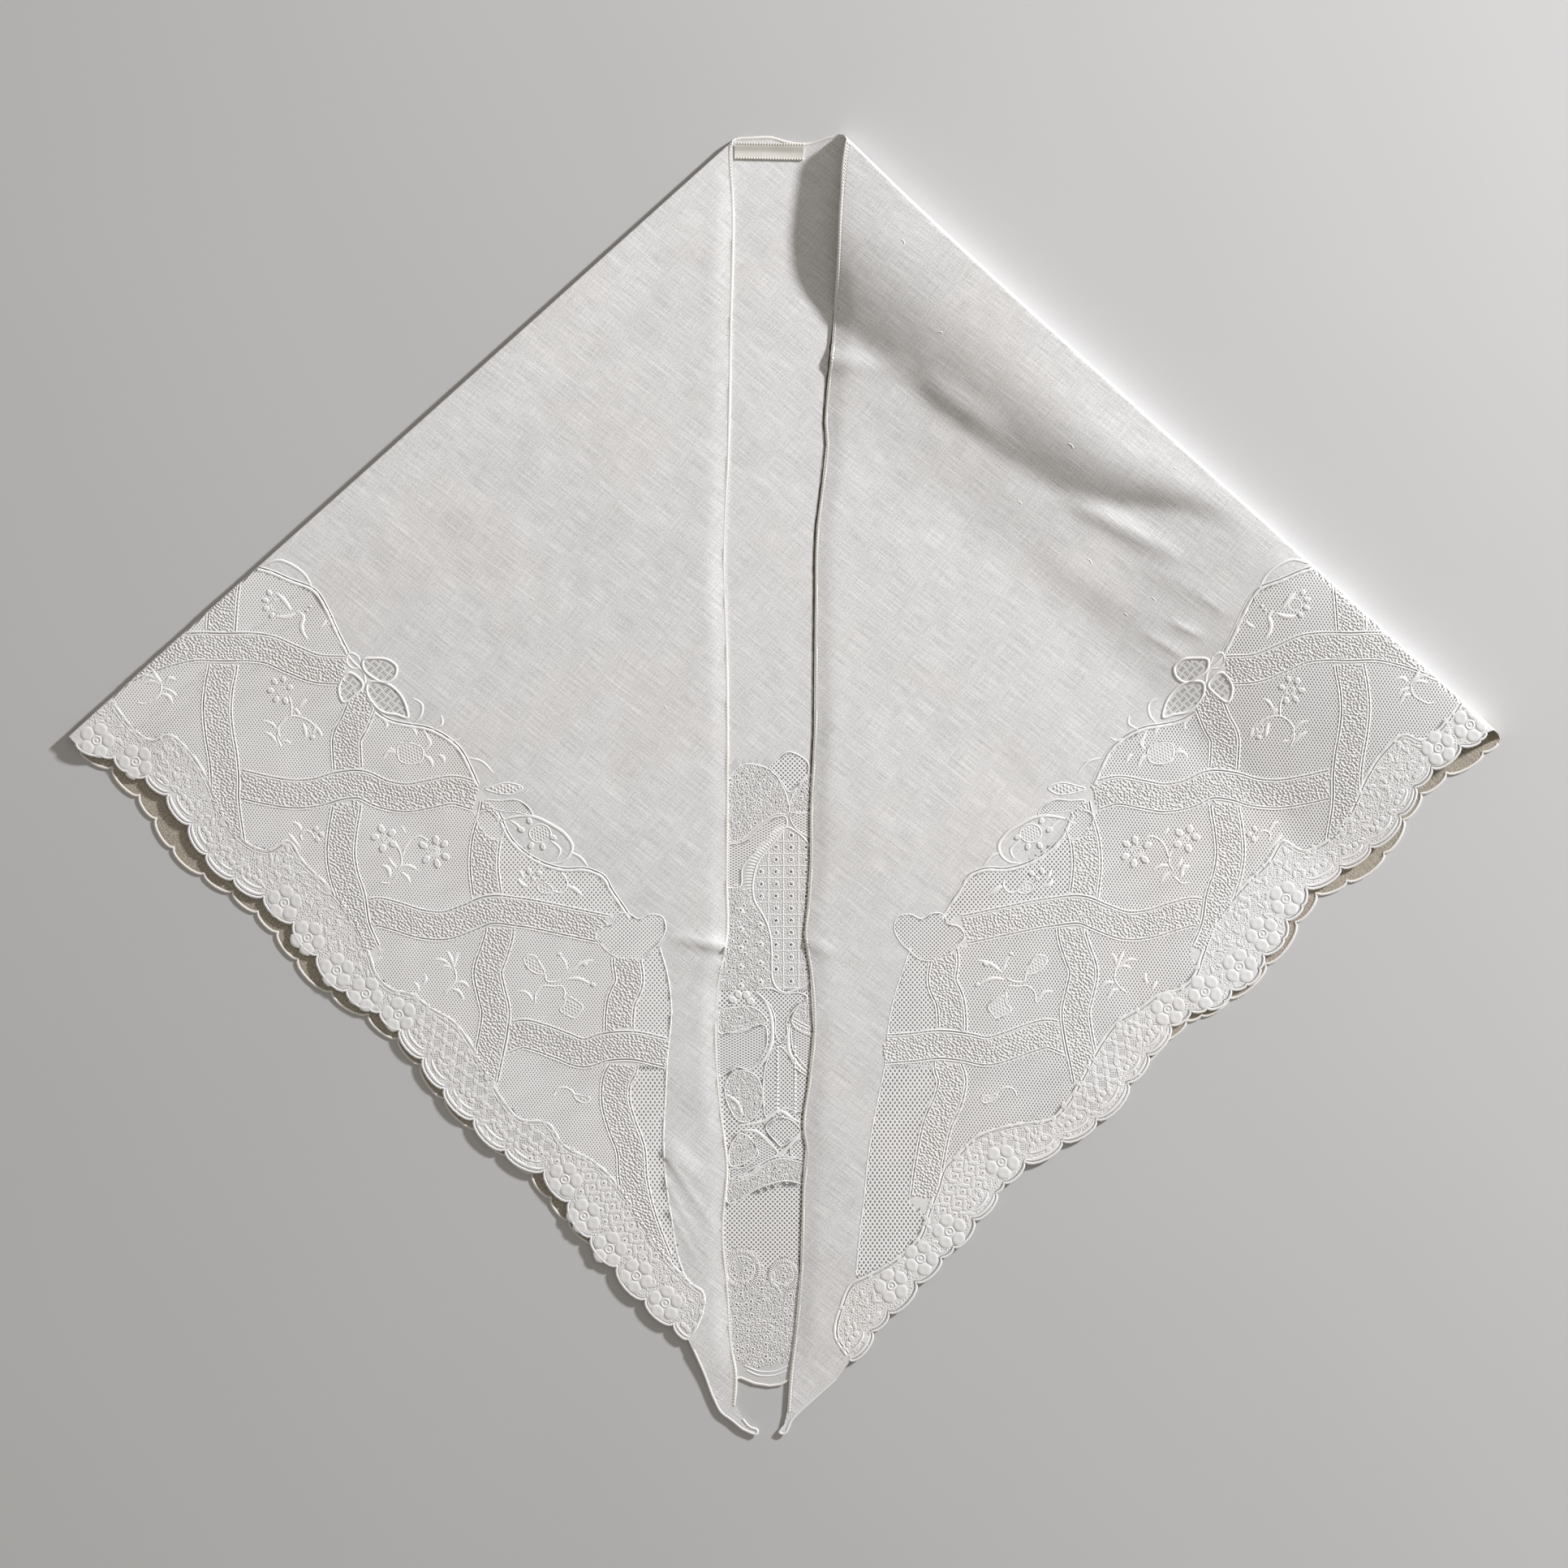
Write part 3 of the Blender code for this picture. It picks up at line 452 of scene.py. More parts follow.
# Sprigs, tendrils and hooks: satin strokes, each half as wide at its middle as its first number says.
strokeRows = [
    (0.8, [(-234.6, 86.1), (-227.4, 68.5), (-223.4, 63.4), (-218.6, 58.8), (-216.3, 44.9), (-211, 38.2)]),
    (0.9, [(-219.5, 62), (-221.2, 66.4), (-225.4, 68), (-227, 63.9), (-224.2, 60.4), (-219.8, 60)]),
    (1.6, [(-263.1, 99.2), (-259.5, 95.5), (-255.5, 89.8)]),
    (1.5, [(-263.5, 86.9), (-258, 86.6), (-253, 88.6)]),
    (1.5, [(-251.9, 90), (-249.3, 86.9), (-250.4, 82.5), (-249.3, 78.2), (-247, 75)]),
    (1.2, [(-242.5, 81.1), (-239.2, 82.5), (-237.4, 85)]),
    (1.5, [(-327.1, 60.1), (-325.5, 56.2), (-322.7, 52.9)]),
    (1.3, [(-332.5, 56.8), (-327.4, 55.8), (-323.1, 52.5)]),
    (1.2, [(-331.4, 52.4), (-327.1, 53.4), (-323.1, 52.4)]),
    (1.3, [(-320.9, 52.9), (-318.4, 55), (-314.4, 54)]),
    (0.45, [(-322.7, 52.5), (-322.7, 49.3), (-323.8, 46.4), (-327.8, 43.5), (-331.8, 41.9), (-334.7, 42.4)]),
    (1.1, [(-322, 50), (-318, 48.5), (-314.4, 45.6)]), (1.4, [(-323.1, 46.7), (-319.5, 46), (-316.6, 41.7)]),
    (0.45, [(-256.6, 45.6), (-255.5, 41.3), (-255.6, 35.5)]),
    (1.3, [(-251.9, 39.1), (-250.1, 42), (-247.2, 44.5)]),
    (1.3, [(-254.6, 39.4), (-252.6, 38.2), (-251.2, 35.8)]),
    (0.45, [(-261.3, 24.7), (-262.7, 28.3), (-260.2, 32.6), (-255.5, 35.4), (-249.3, 34.4), (-245, 31.9),
        (-243.2, 29), (-244.3, 27.6)]),
    (1.1, [(-269.9, 33.3), (-265.2, 31.2), (-262.4, 27.6)]),
    (1.2, [(-269.6, 27.4), (-266, 25.4), (-262.4, 20.6)]),
    (0.45, [(-261.8, 28.6), (-262.7, 25), (-260.9, 19.9)]),
    (1, [(-260.2, 22.8), (-257.6, 22.4), (-255.5, 21)]),
    (1.5, [(-249.7, 32.2), (-248.6, 28.6), (-247.9, 24.2)]),
    (1.4, [(-242.8, 29.8), (-241, 27.6), (-239.9, 24.6)]),
    (1.2, [(-208.3, 13.4), (-206.1, 16.6), (-201, 16.7)]),
    (0.9, [(-205.4, 18.9), (-203.4, 18.2), (-201.4, 17.2)]),
    (1.1, [(-186.6, 17.7), (-183.7, 21.4), (-185.8, 25.7)]),
    (1.4, [(-187.3, 15.6), (-183.7, 12.7), (-182.2, 8.7)]),
    (1.3, [(-180, 15.6), (-177.2, 14.1), (-176.4, 11.2)]),
    (1.2, [(-209.7, 34.6), (-206.4, 32.2), (-206.8, 28.6)]),
    (1.1, [(-194.2, 29.6), (-192, 28.2), (-190.9, 25.2)]),
    (0.9, [(-187.3, 28.9), (-185.1, 24.2), (-184.7, 19.9)]),
    (0.45, [(-201, -31.4), (-198.9, -35.8), (-198.9, -41.6), (-200.3, -43.7)]),
    (0.45, [(-198.1, -37.2), (-196, -31.4), (-193.1, -28.2), (-188.7, -26.7), (-185.1, -28.9)]),
    (1.1, [(-205.4, -37.2), (-203.8, -40.4), (-201, -43)]),
    (1.6, [(-209, -41.6), (-205.6, -43.4), (-204.6, -48.1)]),
    (1.2, [(-199.2, -42.3), (-195.2, -41.9), (-189.5, -44.5)]),
    (1.2, [(-198.9, -45.2), (-196, -47.4), (-193.8, -51.3)]),
    (0.45, [(-209, -50.6), (-205.4, -51), (-201, -47.4)]),
    (0.8, [(-198.1, -21.3), (-197.4, -23.6), (-196, -25.7)]),
    (1.2, [(-255.5, -19.1), (-252.2, -20.6), (-250.1, -24.2)]),
    (1.3, [(-257.3, -24.9), (-254.4, -28.5), (-250.1, -33.6)]),
    (0.45, [(-250.1, -28.5), (-250.8, -25.7), (-247.9, -23.8), (-245, -24.9), (-243.6, -27.8)]),
    (1.2, [(-137.7, -44.2), (-136.4, -46.2), (-135.5, -48.5)]),
    (1.4, [(-138.4, -48.5), (-136.4, -51.4), (-132.8, -52.9)]),
    (0.45, [(-120, -55), (-116, -55.8), (-112.8, -52.1), (-113.9, -47.8), (-116, -45.6)]),
    (1.6, [(-113.1, -52.1), (-109, -54.2), (-104.4, -57.9)]),
    (0.45, [(-124.3, -97.9), (-123.6, -101.3), (-118.5, -101.9), (-114.6, -100.1)]),
    (0.9, [(-116.7, -88), (-114, -91.8), (-112.8, -96.6)]),
    (1.3, [(-112.4, -97.4), (-105.2, -92.3), (-99, -90.7)]),
    (1.3, [(-113.5, -100.6), (-107, -100.4), (-100.5, -103.1)]),
    (0.45, [(-129.4, -112.5), (-129, -107.5), (-125.4, -104.2), (-119.6, -104.4), (-115.7, -104.2),
        (-113.9, -107.5), (-114.7, -110.5)]),
    (1.1, [(-138.4, -106.8), (-134.2, -107.4), (-130.3, -112.2)]),
    (1.3, [(-175, -85.8), (-172.6, -90.9), (-171, -95.2)]),
    (1.1, [(-182.2, -90.6), (-177.9, -90.6), (-172.8, -93.7)]),
    (1.1, [(-179.3, -95.2), (-175.7, -93.9), (-172.1, -94.7)]),
    (1.2, [(-168.5, -86.9), (-170.4, -89.4), (-171, -93.7)]),
    (0.45, [(-171, -95.2), (-170.3, -100.3), (-172.8, -104.6), (-176.4, -107.5)]),
    (1.3, [(-170.6, -102.4), (-166.6, -102.4), (-163, -105.3)]),
    (1.3, [(-172.8, -105.3), (-168.9, -107), (-166.3, -111.1)]),
    (1.2, [(-186.6, -97.4), (-186, -100), (-187.4, -103)]),
    (1.2, [(-192.3, -101.7), (-190.4, -104), (-189.5, -106.8)]),
    (0.45, [(-119.7, -160.8), (-118.2, -157.6), (-114.6, -156.5), (-110.6, -158.2), (-108.8, -160.6)]),
    (1, [(-271, 113), (-262, 116), (-254, 113), (-248, 108), (-244, 100)]),
    (0.9, [(-193, 45), (-188, 41.5), (-188.4, 36), (-192, 31.5)]),
    (0.9, [(-178, 36), (-177.4, 32), (-182.5, 28.5)]), (0.7, [(-168, 24.6), (-171, 22.8), (-175, 24)]),
    (0.8, [(-164, 14), (-157, 12), (-151, 6)]),
    (1.2, [(-150.6, -20.2), (-143.6, -17.4), (-130.2, -16.6), (-121.4, -20.6), (-113.4, -26.3),
        (-110.2, -31.9), (-111.8, -36.7), (-115.8, -39.9), (-123, -40.7)]),
    (0.9, [(-142.3, -18.4), (-138.2, -21.4), (-135.4, -25)]),
    (0.9, [(-121.8, -28.3), (-116.4, -34.4), (-118.6, -38.6)]),
    (1, [(-111.8, -34.7), (-106.6, -37.2), (-102.1, -42.3)]), (1, [(-343, 82), (-343.2, 86), (-341, 90)]),
]
ringRows = [
    (-262.7, 92.8, 3.5, 3.2), (-260.5, 48.5, 2.2, 2.2), (-244.6, 29.3, 2.2, 2.4), (-206.7, -28.3, 1.7, 1.7),
    (-182.1, -34.5, 3.1, 2.6), (-182.1, -34.5, 1.9, 1.5),
]
blobRows = [  # small satin petals: place, half sizes and turn
    (-266.7, 99.2, 1.9, 1.4, 2.2), (-268.9, 95.5, 1.9, 1.3, 2.9), (-268.5, 91.2, 1.9, 1.3, 3.4),
    (-265.6, 87.6, 1.9, 1.4, 4.2), (-245.7, 92.2, 0.9, 0.8, 0), (-247.4, 90, 0.8, 0.7, 0),
    (-264.2, 53.4, 2.1, 1.6, 2.1), (-266.3, 48.7, 2.1, 1.6, 3.1), (-263.4, 44.2, 2.1, 1.6, 4),
    (-258.6, 43.4, 2.1, 1.6, 5), (-256.2, 50.3, 1.9, 1.4, 0.4), (-259.6, 54.6, 1.7, 1.4, 1.4),
    (-244.6, 24.6, 1.4, 1.3, 0), (-209, -22.8, 2.6, 2, 2), (-203.6, -24.9, 2.6, 2, 0.6),
    (-202.8, -30.7, 2.6, 2, 5.7), (-208.3, -32.9, 2.6, 2, 4.4), (-212.3, -27.1, 2.6, 2, 3.2),
    (-180.8, -28.6, 2.7, 2, 1.4), (-176.4, -30.7, 2.4, 1.8, 0.6), (-187.3, -31.4, 2.8, 1.9, 2.6),
    (-185.8, -38.7, 2.8, 1.9, 3.9), (-180.1, -40.8, 2.8, 1.9, 4.9), (-175.7, -37.2, 2.6, 1.9, 5.7),
    (-242.8, -22.8, 1.7, 1.4, 0.8), (-239.9, -25.7, 1.7, 1.4, 5.6), (-242.1, -28.2, 1.7, 1.4, 4.7),
    (-132.7, -44.6, 1.9, 1.5, 1.5), (-127.4, -45.9, 1.8, 1.5, 0.4), (-130.4, -48.6, 1.3, 1.2, 0),
    (-136.6, -23.2, 2.2, 1.5, 2.6), (-131.6, -31.4, 2.2, 1.5, 4.2), (-125.4, -32, 2.2, 1.5, 5),
    (-120.2, -27.2, 2.2, 1.5, 5.9), (-132.4, -18.6, 2, 1.4, 2), (-103.6, -92.8, 1.5, 1.1, 0.4),
    (-99.4, -103.4, 1.6, 1.2, 5.8), (-116.9, -87.6, 1.2, 1, 0),
]
# Pulled threads and slubs that stand up from the plain cloth, as laid: place, length and turn in degrees.
pullRows = {
    "right": [(60.7, 279.7, 2.6, -60), (80, 233.1, 2.2, -20), (147.2, 174.7, 3.4, -45),
        (200.6, 163, 1.6, -30), (121.2, 145.7, 2.4, -35), (157.3, 115.5, 3, -50), (190, 96, 2.4, -40),
        (176, 88, 2, -38)],
    "left": [(-204, 196, 1.8, -50), (-96, 214, 2.2, 20), (-131, 96, 1.6, -35), (-62, 40, 1.8, -50)],
}
stripRows = [
    ("bobble", 2.2, [(-29.4, 2.9), (-25.6, 8), (-20, 10.7), (-15.1, 10.3), (-9.6, 8.6), (-4.7, 4.4),
        (-1.2, -1.2), (0.9, -6.7), (0.9, -15.1), (-4.8, -15.1), (-11.6, -19.3), (-17.2, -23.4),
        (-22.1, -28.1), (-29.2, -29.8)]),
    ("net", 1.7, [(-8.2, 9.3), (-4.7, 12.8), (1.6, 17), (6.5, 15.5), (12, 10.7), (12, 6.5), (6.5, -0.4),
        (2.3, -3.9), (-1.9, 1.7)]),
    ("bobble", 2, [(5, -3.2), (12, 5.9), (14, -13.7), (1.8, -13.7)]),
    ("net", 1.35, [(2.3, -16), (14, -15.5), (14, -27), (6.4, -23.5)]),
    ("net", 1.35, [(-31, -31.6), (-22.1, -29.6), (-11.6, -20.8), (-4.7, -16.6), (0.2, -16.6), (0.9, -20.6),
        (-4.7, -25.5), (-11.6, -31.8), (-18.7, -38.1), (-22.1, -42.8), (-23.5, -52.7), (-31, -53)]),
    ("net", 1.55, [(-15.3, -106.7), (-7.8, -105.4), (-0.3, -108.2), (7.2, -107.6), (11.3, -109.6),
        (5, -115.7), (0.8, -121.7), (0.8, -130), (-2.6, -133.7), (-4.8, -130), (-5.2, -121.7),
        (-7.8, -114.2), (-12.3, -109.7)]),
    ("bobble", 2, [(12.5, -110.5), (14.5, -129), (3.2, -122.5), (6, -116)]),
    ("bobble", 2.2, [(-34, -117.2), (-25, -115.3), (-17.6, -115), (-12.3, -118), (-9.3, -122.5),
        (-13.8, -124.7), (-23.6, -127), (-34, -128.5)]),
    ("net", 1.35, [(-34, -130), (-22.8, -127.9), (-9.9, -125.4), (-9.4, -128.5), (-9.9, -136), (-14, -143.2),
        (-18.4, -147.5), (-25, -146), (-34, -151)]),
    ("net", 1.35, [(3.7, -125.2), (8, -127.8), (15, -131), (15, -149), (11.7, -147.2), (7.9, -143),
        (4.2, -137.5), (3.2, -131.5)]),
    ("bobble", 2.6, [(-31, -155), (-27.5, -149.5), (-21.7, -148), (-15.5, -150.5), (-12.4, -156.5),
        (-12.2, -163.5), (-14.5, -170), (-19.5, -174.5), (-24, -174), (-28.5, -168), (-31, -161)]),
    ("net", 1.55, [(-9.5, -143), (-6.7, -137), (-2.6, -135.5), (1.2, -139.2), (6.5, -147.5), (13, -152.2),
        (11.5, -161.5), (8, -169), (-0.3, -167.5), (-10, -172), (-11.3, -164.5), (-11.3, -153.2)]),
    ("net", 1.55, [(-10, -177), (-2.6, -172), (5, -175), (8, -179), (2.7, -184), (-2.6, -187),
        (-4.8, -184.7)]),
    ("bobble", 2.2, [(-28, -197.5), (-28.3, -187), (-22.8, -180.5), (-16.8, -184.6), (-15, -189.2),
        (-21.3, -196)]),
    ("net", 1.35, [(-29, -204), (-29, -199.5), (-21, -198), (-14, -190.5), (-16, -185), (-12, -181.8),
        (-5.5, -188), (-4, -190.5), (-9, -194), (-18, -199)]),
    ("net", 1.5, [(2.7, -187.7), (10, -182.5), (10, -194.5), (2.7, -190.7)]),
    ("bobble", 2.2, [(-30, -206), (-17.5, -201.5), (-10, -196), (-2.6, -193.7), (11, -196), (11, -206),
        (0, -205), (-12, -208), (-30, -216)]),
    ("net", 1.75, [(-31, -218), (-12, -210), (0, -207), (10, -208), (9, -249), (-31, -249)]),
    ("knots", 3.1, [(-32, -242), (-23, -239.6), (-15, -242), (-11.5, -248), (-9.5, -253), (-7, -248.5),
        (-3, -245.5), (3, -245), (10, -248), (7, -285), (2, -297), (-8, -301), (-22, -300), (-28, -290),
        (-31, -270)]),
]
eyeletLeaf = [
    (0.9, -22), (-4.7, -28.3), (-9.6, -33.9), (-13.8, -39.4), (-16.2, -47.1), (-16.9, -54), (-15.8, -60.3),
    (-12.4, -65.9), (-9.6, -71.4), (-7.8, -77.7), (-7.1, -84.7), (-7, -94), (-6.7, -100.7), (-4, -105.6),
    (-0.3, -107.5), (5, -106.3), (9.5, -104.5), (13.5, -100.7), (14, -33), (6.4, -24.8),
]
starField = [
    (-31, -53), (-22, -53), (-17.5, -55.5), (-16.4, -62), (-12.4, -67.5), (-9.6, -73), (-8.3, -84),
    (-8, -100), (-8.6, -104.5), (-17, -106.4), (-34, -106.4),
]


# Building with trees
def node(tree, kind, inputs=(), **settings):
    made = tree.nodes.new(kind)
    for key, value in settings.items():
        setattr(made, key, value)
    for key, value in dict(inputs).items():
        if isinstance(value, bpy.types.NodeSocket):
            tree.links.new(value, made.inputs[key])
        else:
            made.inputs[key].default_value = value
    return made


def newTree(name, inputs):  # a geometry tree with named inputs, its input node and a closing function
    tree = bpy.data.node_groups.new(name, "GeometryNodeTree")
    tree.interface.new_socket("Geometry", in_out="INPUT", socket_type="NodeSocketGeometry")
    tree.interface.new_socket("Geometry", in_out="OUTPUT", socket_type="NodeSocketGeometry")
    kinds = {int: "Int", float: "Float", "object": "Object"}
    for label, value in inputs.items():
        kind = kinds.get(value) or kinds[type(value)]
        made = tree.interface.new_socket(label, in_out="INPUT", socket_type="NodeSocket" + kind)
        if value != "object":
            made.default_value = value
    tree.interface.new_socket("Material", in_out="INPUT", socket_type="NodeSocketMaterial")
    source, sink = tree.nodes.new("NodeGroupInput"), tree.nodes.new("NodeGroupOutput")

    def close(geometry, smooth=True):
        real = node(tree, "GeometryNodeRealizeInstances", {"Geometry": geometry})
        shaded = node(tree, "GeometryNodeSetShadeSmooth",
                      {"Geometry": real.outputs[0], "Shade Smooth": smooth})
        dressed = node(tree, "GeometryNodeSetMaterial",
                       {"Geometry": shaded.outputs[0], "Material": source.outputs["Material"]})
        tree.links.new(dressed.outputs[0], sink.inputs[0])

    return tree, source.outputs, close


def attribute(tree, name, kind="FLOAT"):
    return node(tree, "GeometryNodeInputNamedAttribute", {"Name": name}, data_type=kind).outputs["Attribute"]


def mathNode(tree, operation, first, second=0.0, third=0.0):
    return node(tree, "ShaderNodeMath", {0: first, 1: second, 2: third}, operation=operation).outputs[0]


def upright(tree, angle):  # a rotation by an angle round the upright axis
    euler = node(tree, "ShaderNodeCombineXYZ", {"Z": angle})
    return node(tree, "FunctionNodeEulerToRotation", {"Euler": euler.outputs[0]}).outputs[0]


def copies(tree, points, shape, rotation, scale):
    return node(tree, "GeometryNodeInstanceOnPoints", {
        "Points": points, "Instance": shape, "Rotation": rotation, "Scale": scale}).outputs[0]


def shapeFrom(tree, given):
    return node(tree, "GeometryNodeObjectInfo", {"Object": given["Shape"]}).outputs["Geometry"]


def makeCordTree():  # round cords along lines, as thick as each line's girth says
    tree, given, close = newTree("cordAlongLines", {"Sides": 6, "Flatness": 1.0, "Base": 0.175})
    curve = node(tree, "GeometryNodeMeshToCurve", {"Mesh": given["Geometry"]})
    level = node(tree, "GeometryNodeSetCurveNormal", {"Curve": curve.outputs[0]}, mode="Z_UP")
    profile = node(tree, "GeometryNodeCurvePrimitiveCircle", {"Resolution": given["Sides"], "Radius": 1.0})
    tube = node(tree, "GeometryNodeCurveToMesh", {
        "Curve": level.outputs[0], "Profile Curve": profile.outputs["Curve"],
        "Scale": attribute(tree, "girth"), "Fill Caps": True,
    })
    position = node(tree, "GeometryNodeInputPosition").outputs[0]
    place = node(tree, "ShaderNodeSeparateXYZ", {"Vector": position})
    less = mathNode(tree, "SUBTRACT", given["Flatness"], 1.0)
    above = mathNode(tree, "SUBTRACT", place.outputs["Z"], given["Base"])
    offset = node(tree, "ShaderNodeCombineXYZ", {"Z": mathNode(tree, "MULTIPLY", above, less)}).outputs[0]
    flattened = node(tree, "GeometryNodeSetPosition", {"Geometry": tube.outputs[0], "Offset": offset})
    close(flattened.outputs[0])
    return tree


def makeStitchTree():  # one stitch after another along lines, each across or slanting
    tree, given, close = newTree("stitchesAlongLines", {
        "Shape": "object", "Spacing": 1.0, "Width": 0.4, "Height": 0.3, "Slant": 1.57})
    curve = node(tree, "GeometryNodeMeshToCurve", {"Mesh": given["Geometry"]})
    even = node(tree, "GeometryNodeResampleCurve", {"Curve": curve.outputs[0], "Length": given["Spacing"]},
                mode="LENGTH")
    tangent = node(tree, "GeometryNodeInputTangent").outputs[0]
    facing = node(tree, "FunctionNodeAlignRotationToVector", {"Vector": tangent}, axis="X", pivot_axis="Z")
    slant = node(tree, "FunctionNodeAxisAngleToRotation", {"Axis": (0, 0, 1), "Angle": given["Slant"]})
    turned = node(tree, "FunctionNodeRotateRotation",
                  {"Rotation": facing.outputs[0], "Rotate By": slant.outputs[0]}, rotation_space="LOCAL")
    size = node(tree, "ShaderNodeCombineXYZ",
                {"X": attribute(tree, "reach"), "Y": given["Width"], "Z": given["Height"]})
    close(copies(tree, even.outputs[0], shapeFrom(tree, given), turned.outputs[0], size.outputs[0]))
    return tree


def makeScatterTree():  # one shape at each point, turned and sized by the point
    tree, given, close = newTree("shapesAtPoints", {"Shape": "object"})
    close(copies(tree, given["Geometry"], shapeFrom(tree, given), upright(tree, attribute(tree, "turn")),
                 attribute(tree, "size", "FLOAT_VECTOR")))
    return tree


def makeSeedTree():  # seed stitches spread over faces, mostly slanting one way
    tree, given, close = newTree("seedsOverFaces", {
        "Shape": "object", "Gap": 1.8, "Length": 1.0, "Width": 0.5, "Height": 0.4, "Slant": 0.8,
        "Spread": 0.3,
        "Seed": 7})
    spread = node(tree, "GeometryNodeDistributePointsOnFaces", {
        "Mesh": given["Geometry"], "Distance Min": given["Gap"], "Density Max": 4.0, "Seed": given["Seed"],
    }, distribute_method="POISSON")
    back = mathNode(tree, "MULTIPLY", given["Spread"], -1.0)
    sway = node(tree, "FunctionNodeRandomValue", {2: back, 3: given["Spread"], "Seed": given["Seed"]},
                data_type="FLOAT")
    turn = mathNode(tree, "ADD", given["Slant"], sway.outputs[1])
    size = node(tree, "ShaderNodeCombineXYZ",
                {"X": given["Length"], "Y": given["Width"], "Z": given["Height"]}).outputs[0]
    close(copies(tree, spread.outputs["Points"], shapeFrom(tree, given), upright(tree, turn), size))
    return tree


def makeNetTree():  # a lattice of threads: one open, sloping rhombus at each point, joined to its neighbours
    tree, given, close = newTree("netOfThreads", {"Hole Share": 0.5, "Depth": 0.5, "Foot": 0.1})
    side = math.sqrt(0.5)
    square = node(tree, "GeometryNodeMeshGrid",
                  {"Size X": side, "Size Y": side, "Vertices X": 2, "Vertices Y": 2})
    down = mathNode(tree, "MULTIPLY", given["Depth"], -1.0)
    dug = node(tree, "GeometryNodeExtrudeMesh", {"Mesh": square.outputs[0], "Offset Scale": down},
               mode="FACES")
    hole = node(tree, "GeometryNodeScaleElements", {
        "Geometry": dug.outputs["Mesh"], "Selection": dug.outputs["Top"], "Scale": given["Hole Share"]})
    opened = node(tree, "GeometryNodeDeleteGeometry",
                  {"Geometry": hole.outputs[0], "Selection": dug.outputs["Top"]}, domain="FACE")
    lift = node(tree, "ShaderNodeCombineXYZ", {"Z": mathNode(tree, "ADD", given["Foot"], given["Depth"])})
    cell = node(tree, "GeometryNodeTransform", {
        "Geometry": opened.outputs[0], "Translation": lift.outputs[0], "Rotation": (0, 0, math.pi / 4)})
    placed = copies(tree, given["Geometry"], cell.outputs[0], upright(tree, attribute(tree, "turn")),
                    attribute(tree, "size", "FLOAT_VECTOR"))
    real = node(tree, "GeometryNodeRealizeInstances", {"Geometry": placed})
    joined = node(tree, "GeometryNodeMergeByDistance", {"Geometry": real.outputs[0], "Distance": 0.02})
    close(joined.outputs[0])
    return tree


cordTree, stitchTree, scatterTree = makeCordTree(), makeStitchTree(), makeScatterTree()
seedTree, netTree = makeSeedTree(), makeNetTree()


def newObject(name, mesh):
    obj = bpy.data.objects.new(name, mesh)
    bpy.context.scene.collection.objects.link(obj)
    return obj


def newMesh(name, vertices, edges=(), faces=()):
    mesh = bpy.data.meshes.new(name)
    mesh.from_pydata(np.asarray(vertices, float).tolist(), list(edges), list(faces))
    return mesh


def turnedShape(name, rings, sides, pinch=1.0):  # a small low shape turned from rings of (radius, height)
    vertices, faces = [], []
    for level, (radius, height) in enumerate(rings):
        for side in range(sides):
            angle = 2 * math.pi * side / sides
            reach = radius * (pinch if side % 2 and level == 0 else 1.0)
            vertices.append((reach * math.cos(angle), reach * math.sin(angle), height))
    for level in range(len(rings) - 1):
        for side in range(sides):
            a, b = level * sides + side, level * sides + (side + 1) % sides
            faces.append((a, b, b + sides, a + sides))
    faces.append(tuple(range((len(rings) - 1) * sides, len(rings) * sides)))
    return newObject(name, newMesh(name, vertices, faces=faces))


shapes = {
    "seed": turnedShape("shapeSeed", [(1, -0.2), (0.5, 1)], 5),
    "bobble": turnedShape("shapeBobble", [(1, -0.2), (0.86, 0.55), (0.42, 1)], 7),
    "petal": turnedShape("shapePetal", [(1, -0.2), (0.84, 0.66), (0.56, 1), (0.26, 0.7)], 10, 0.93),
    "ring": turnedShape("shapeRing", [(1, -0.2), (0.93, 0.7), (0.75, 1), (0.56, 0.7), (0.46, -0.1)], 9),
    "star": turnedShape("shapeStar", [(1, -0.2), (0.46, 0.85), (0.3, 1), (0.16, 0.2)], 12, 0.62),
    "dot": turnedShape("shapeDot", [(1, -0.2), (0.7, 1)], 8),
    "grain": turnedShape("shapeGrain", [(1, -0.2), (0.5, 1)], 5),
    "slit": turnedShape("shapeSlit", [(1, -0.2), (0.8, 1)], 4),
    "speck": turnedShape("shapeSpeck", [(1, -0.2), (0.7, 1)], 5),
}


# Looks
def newGroup(name, inputs, outputs):
    group = bpy.data.node_groups.new(name, "ShaderNodeTree")
    for label, value in inputs.items():
        kind = "NodeSocketVector" if isinstance(value, tuple) else "NodeSocketFloat"
        made = group.interface.new_socket(label, in_out="INPUT", socket_type=kind)
        made.default_value = value
    for label in outputs:
        group.interface.new_socket(label, in_out="OUTPUT", socket_type="NodeSocketFloat")
    return group, group.nodes.new("NodeGroupInput").outputs, group.nodes.new("NodeGroupOutput").inputs


def stretchedNoise(tree, vector, scale, detail=2.0):
    scaled = node(tree, "ShaderNodeVectorMath", {0: vector, 1: scale}, operation="MULTIPLY").outputs[0]
    return node(tree, "ShaderNodeTexNoise", {"Vector": scaled, "Scale": 1.0, "Detail": detail}).outputs["Fac"]


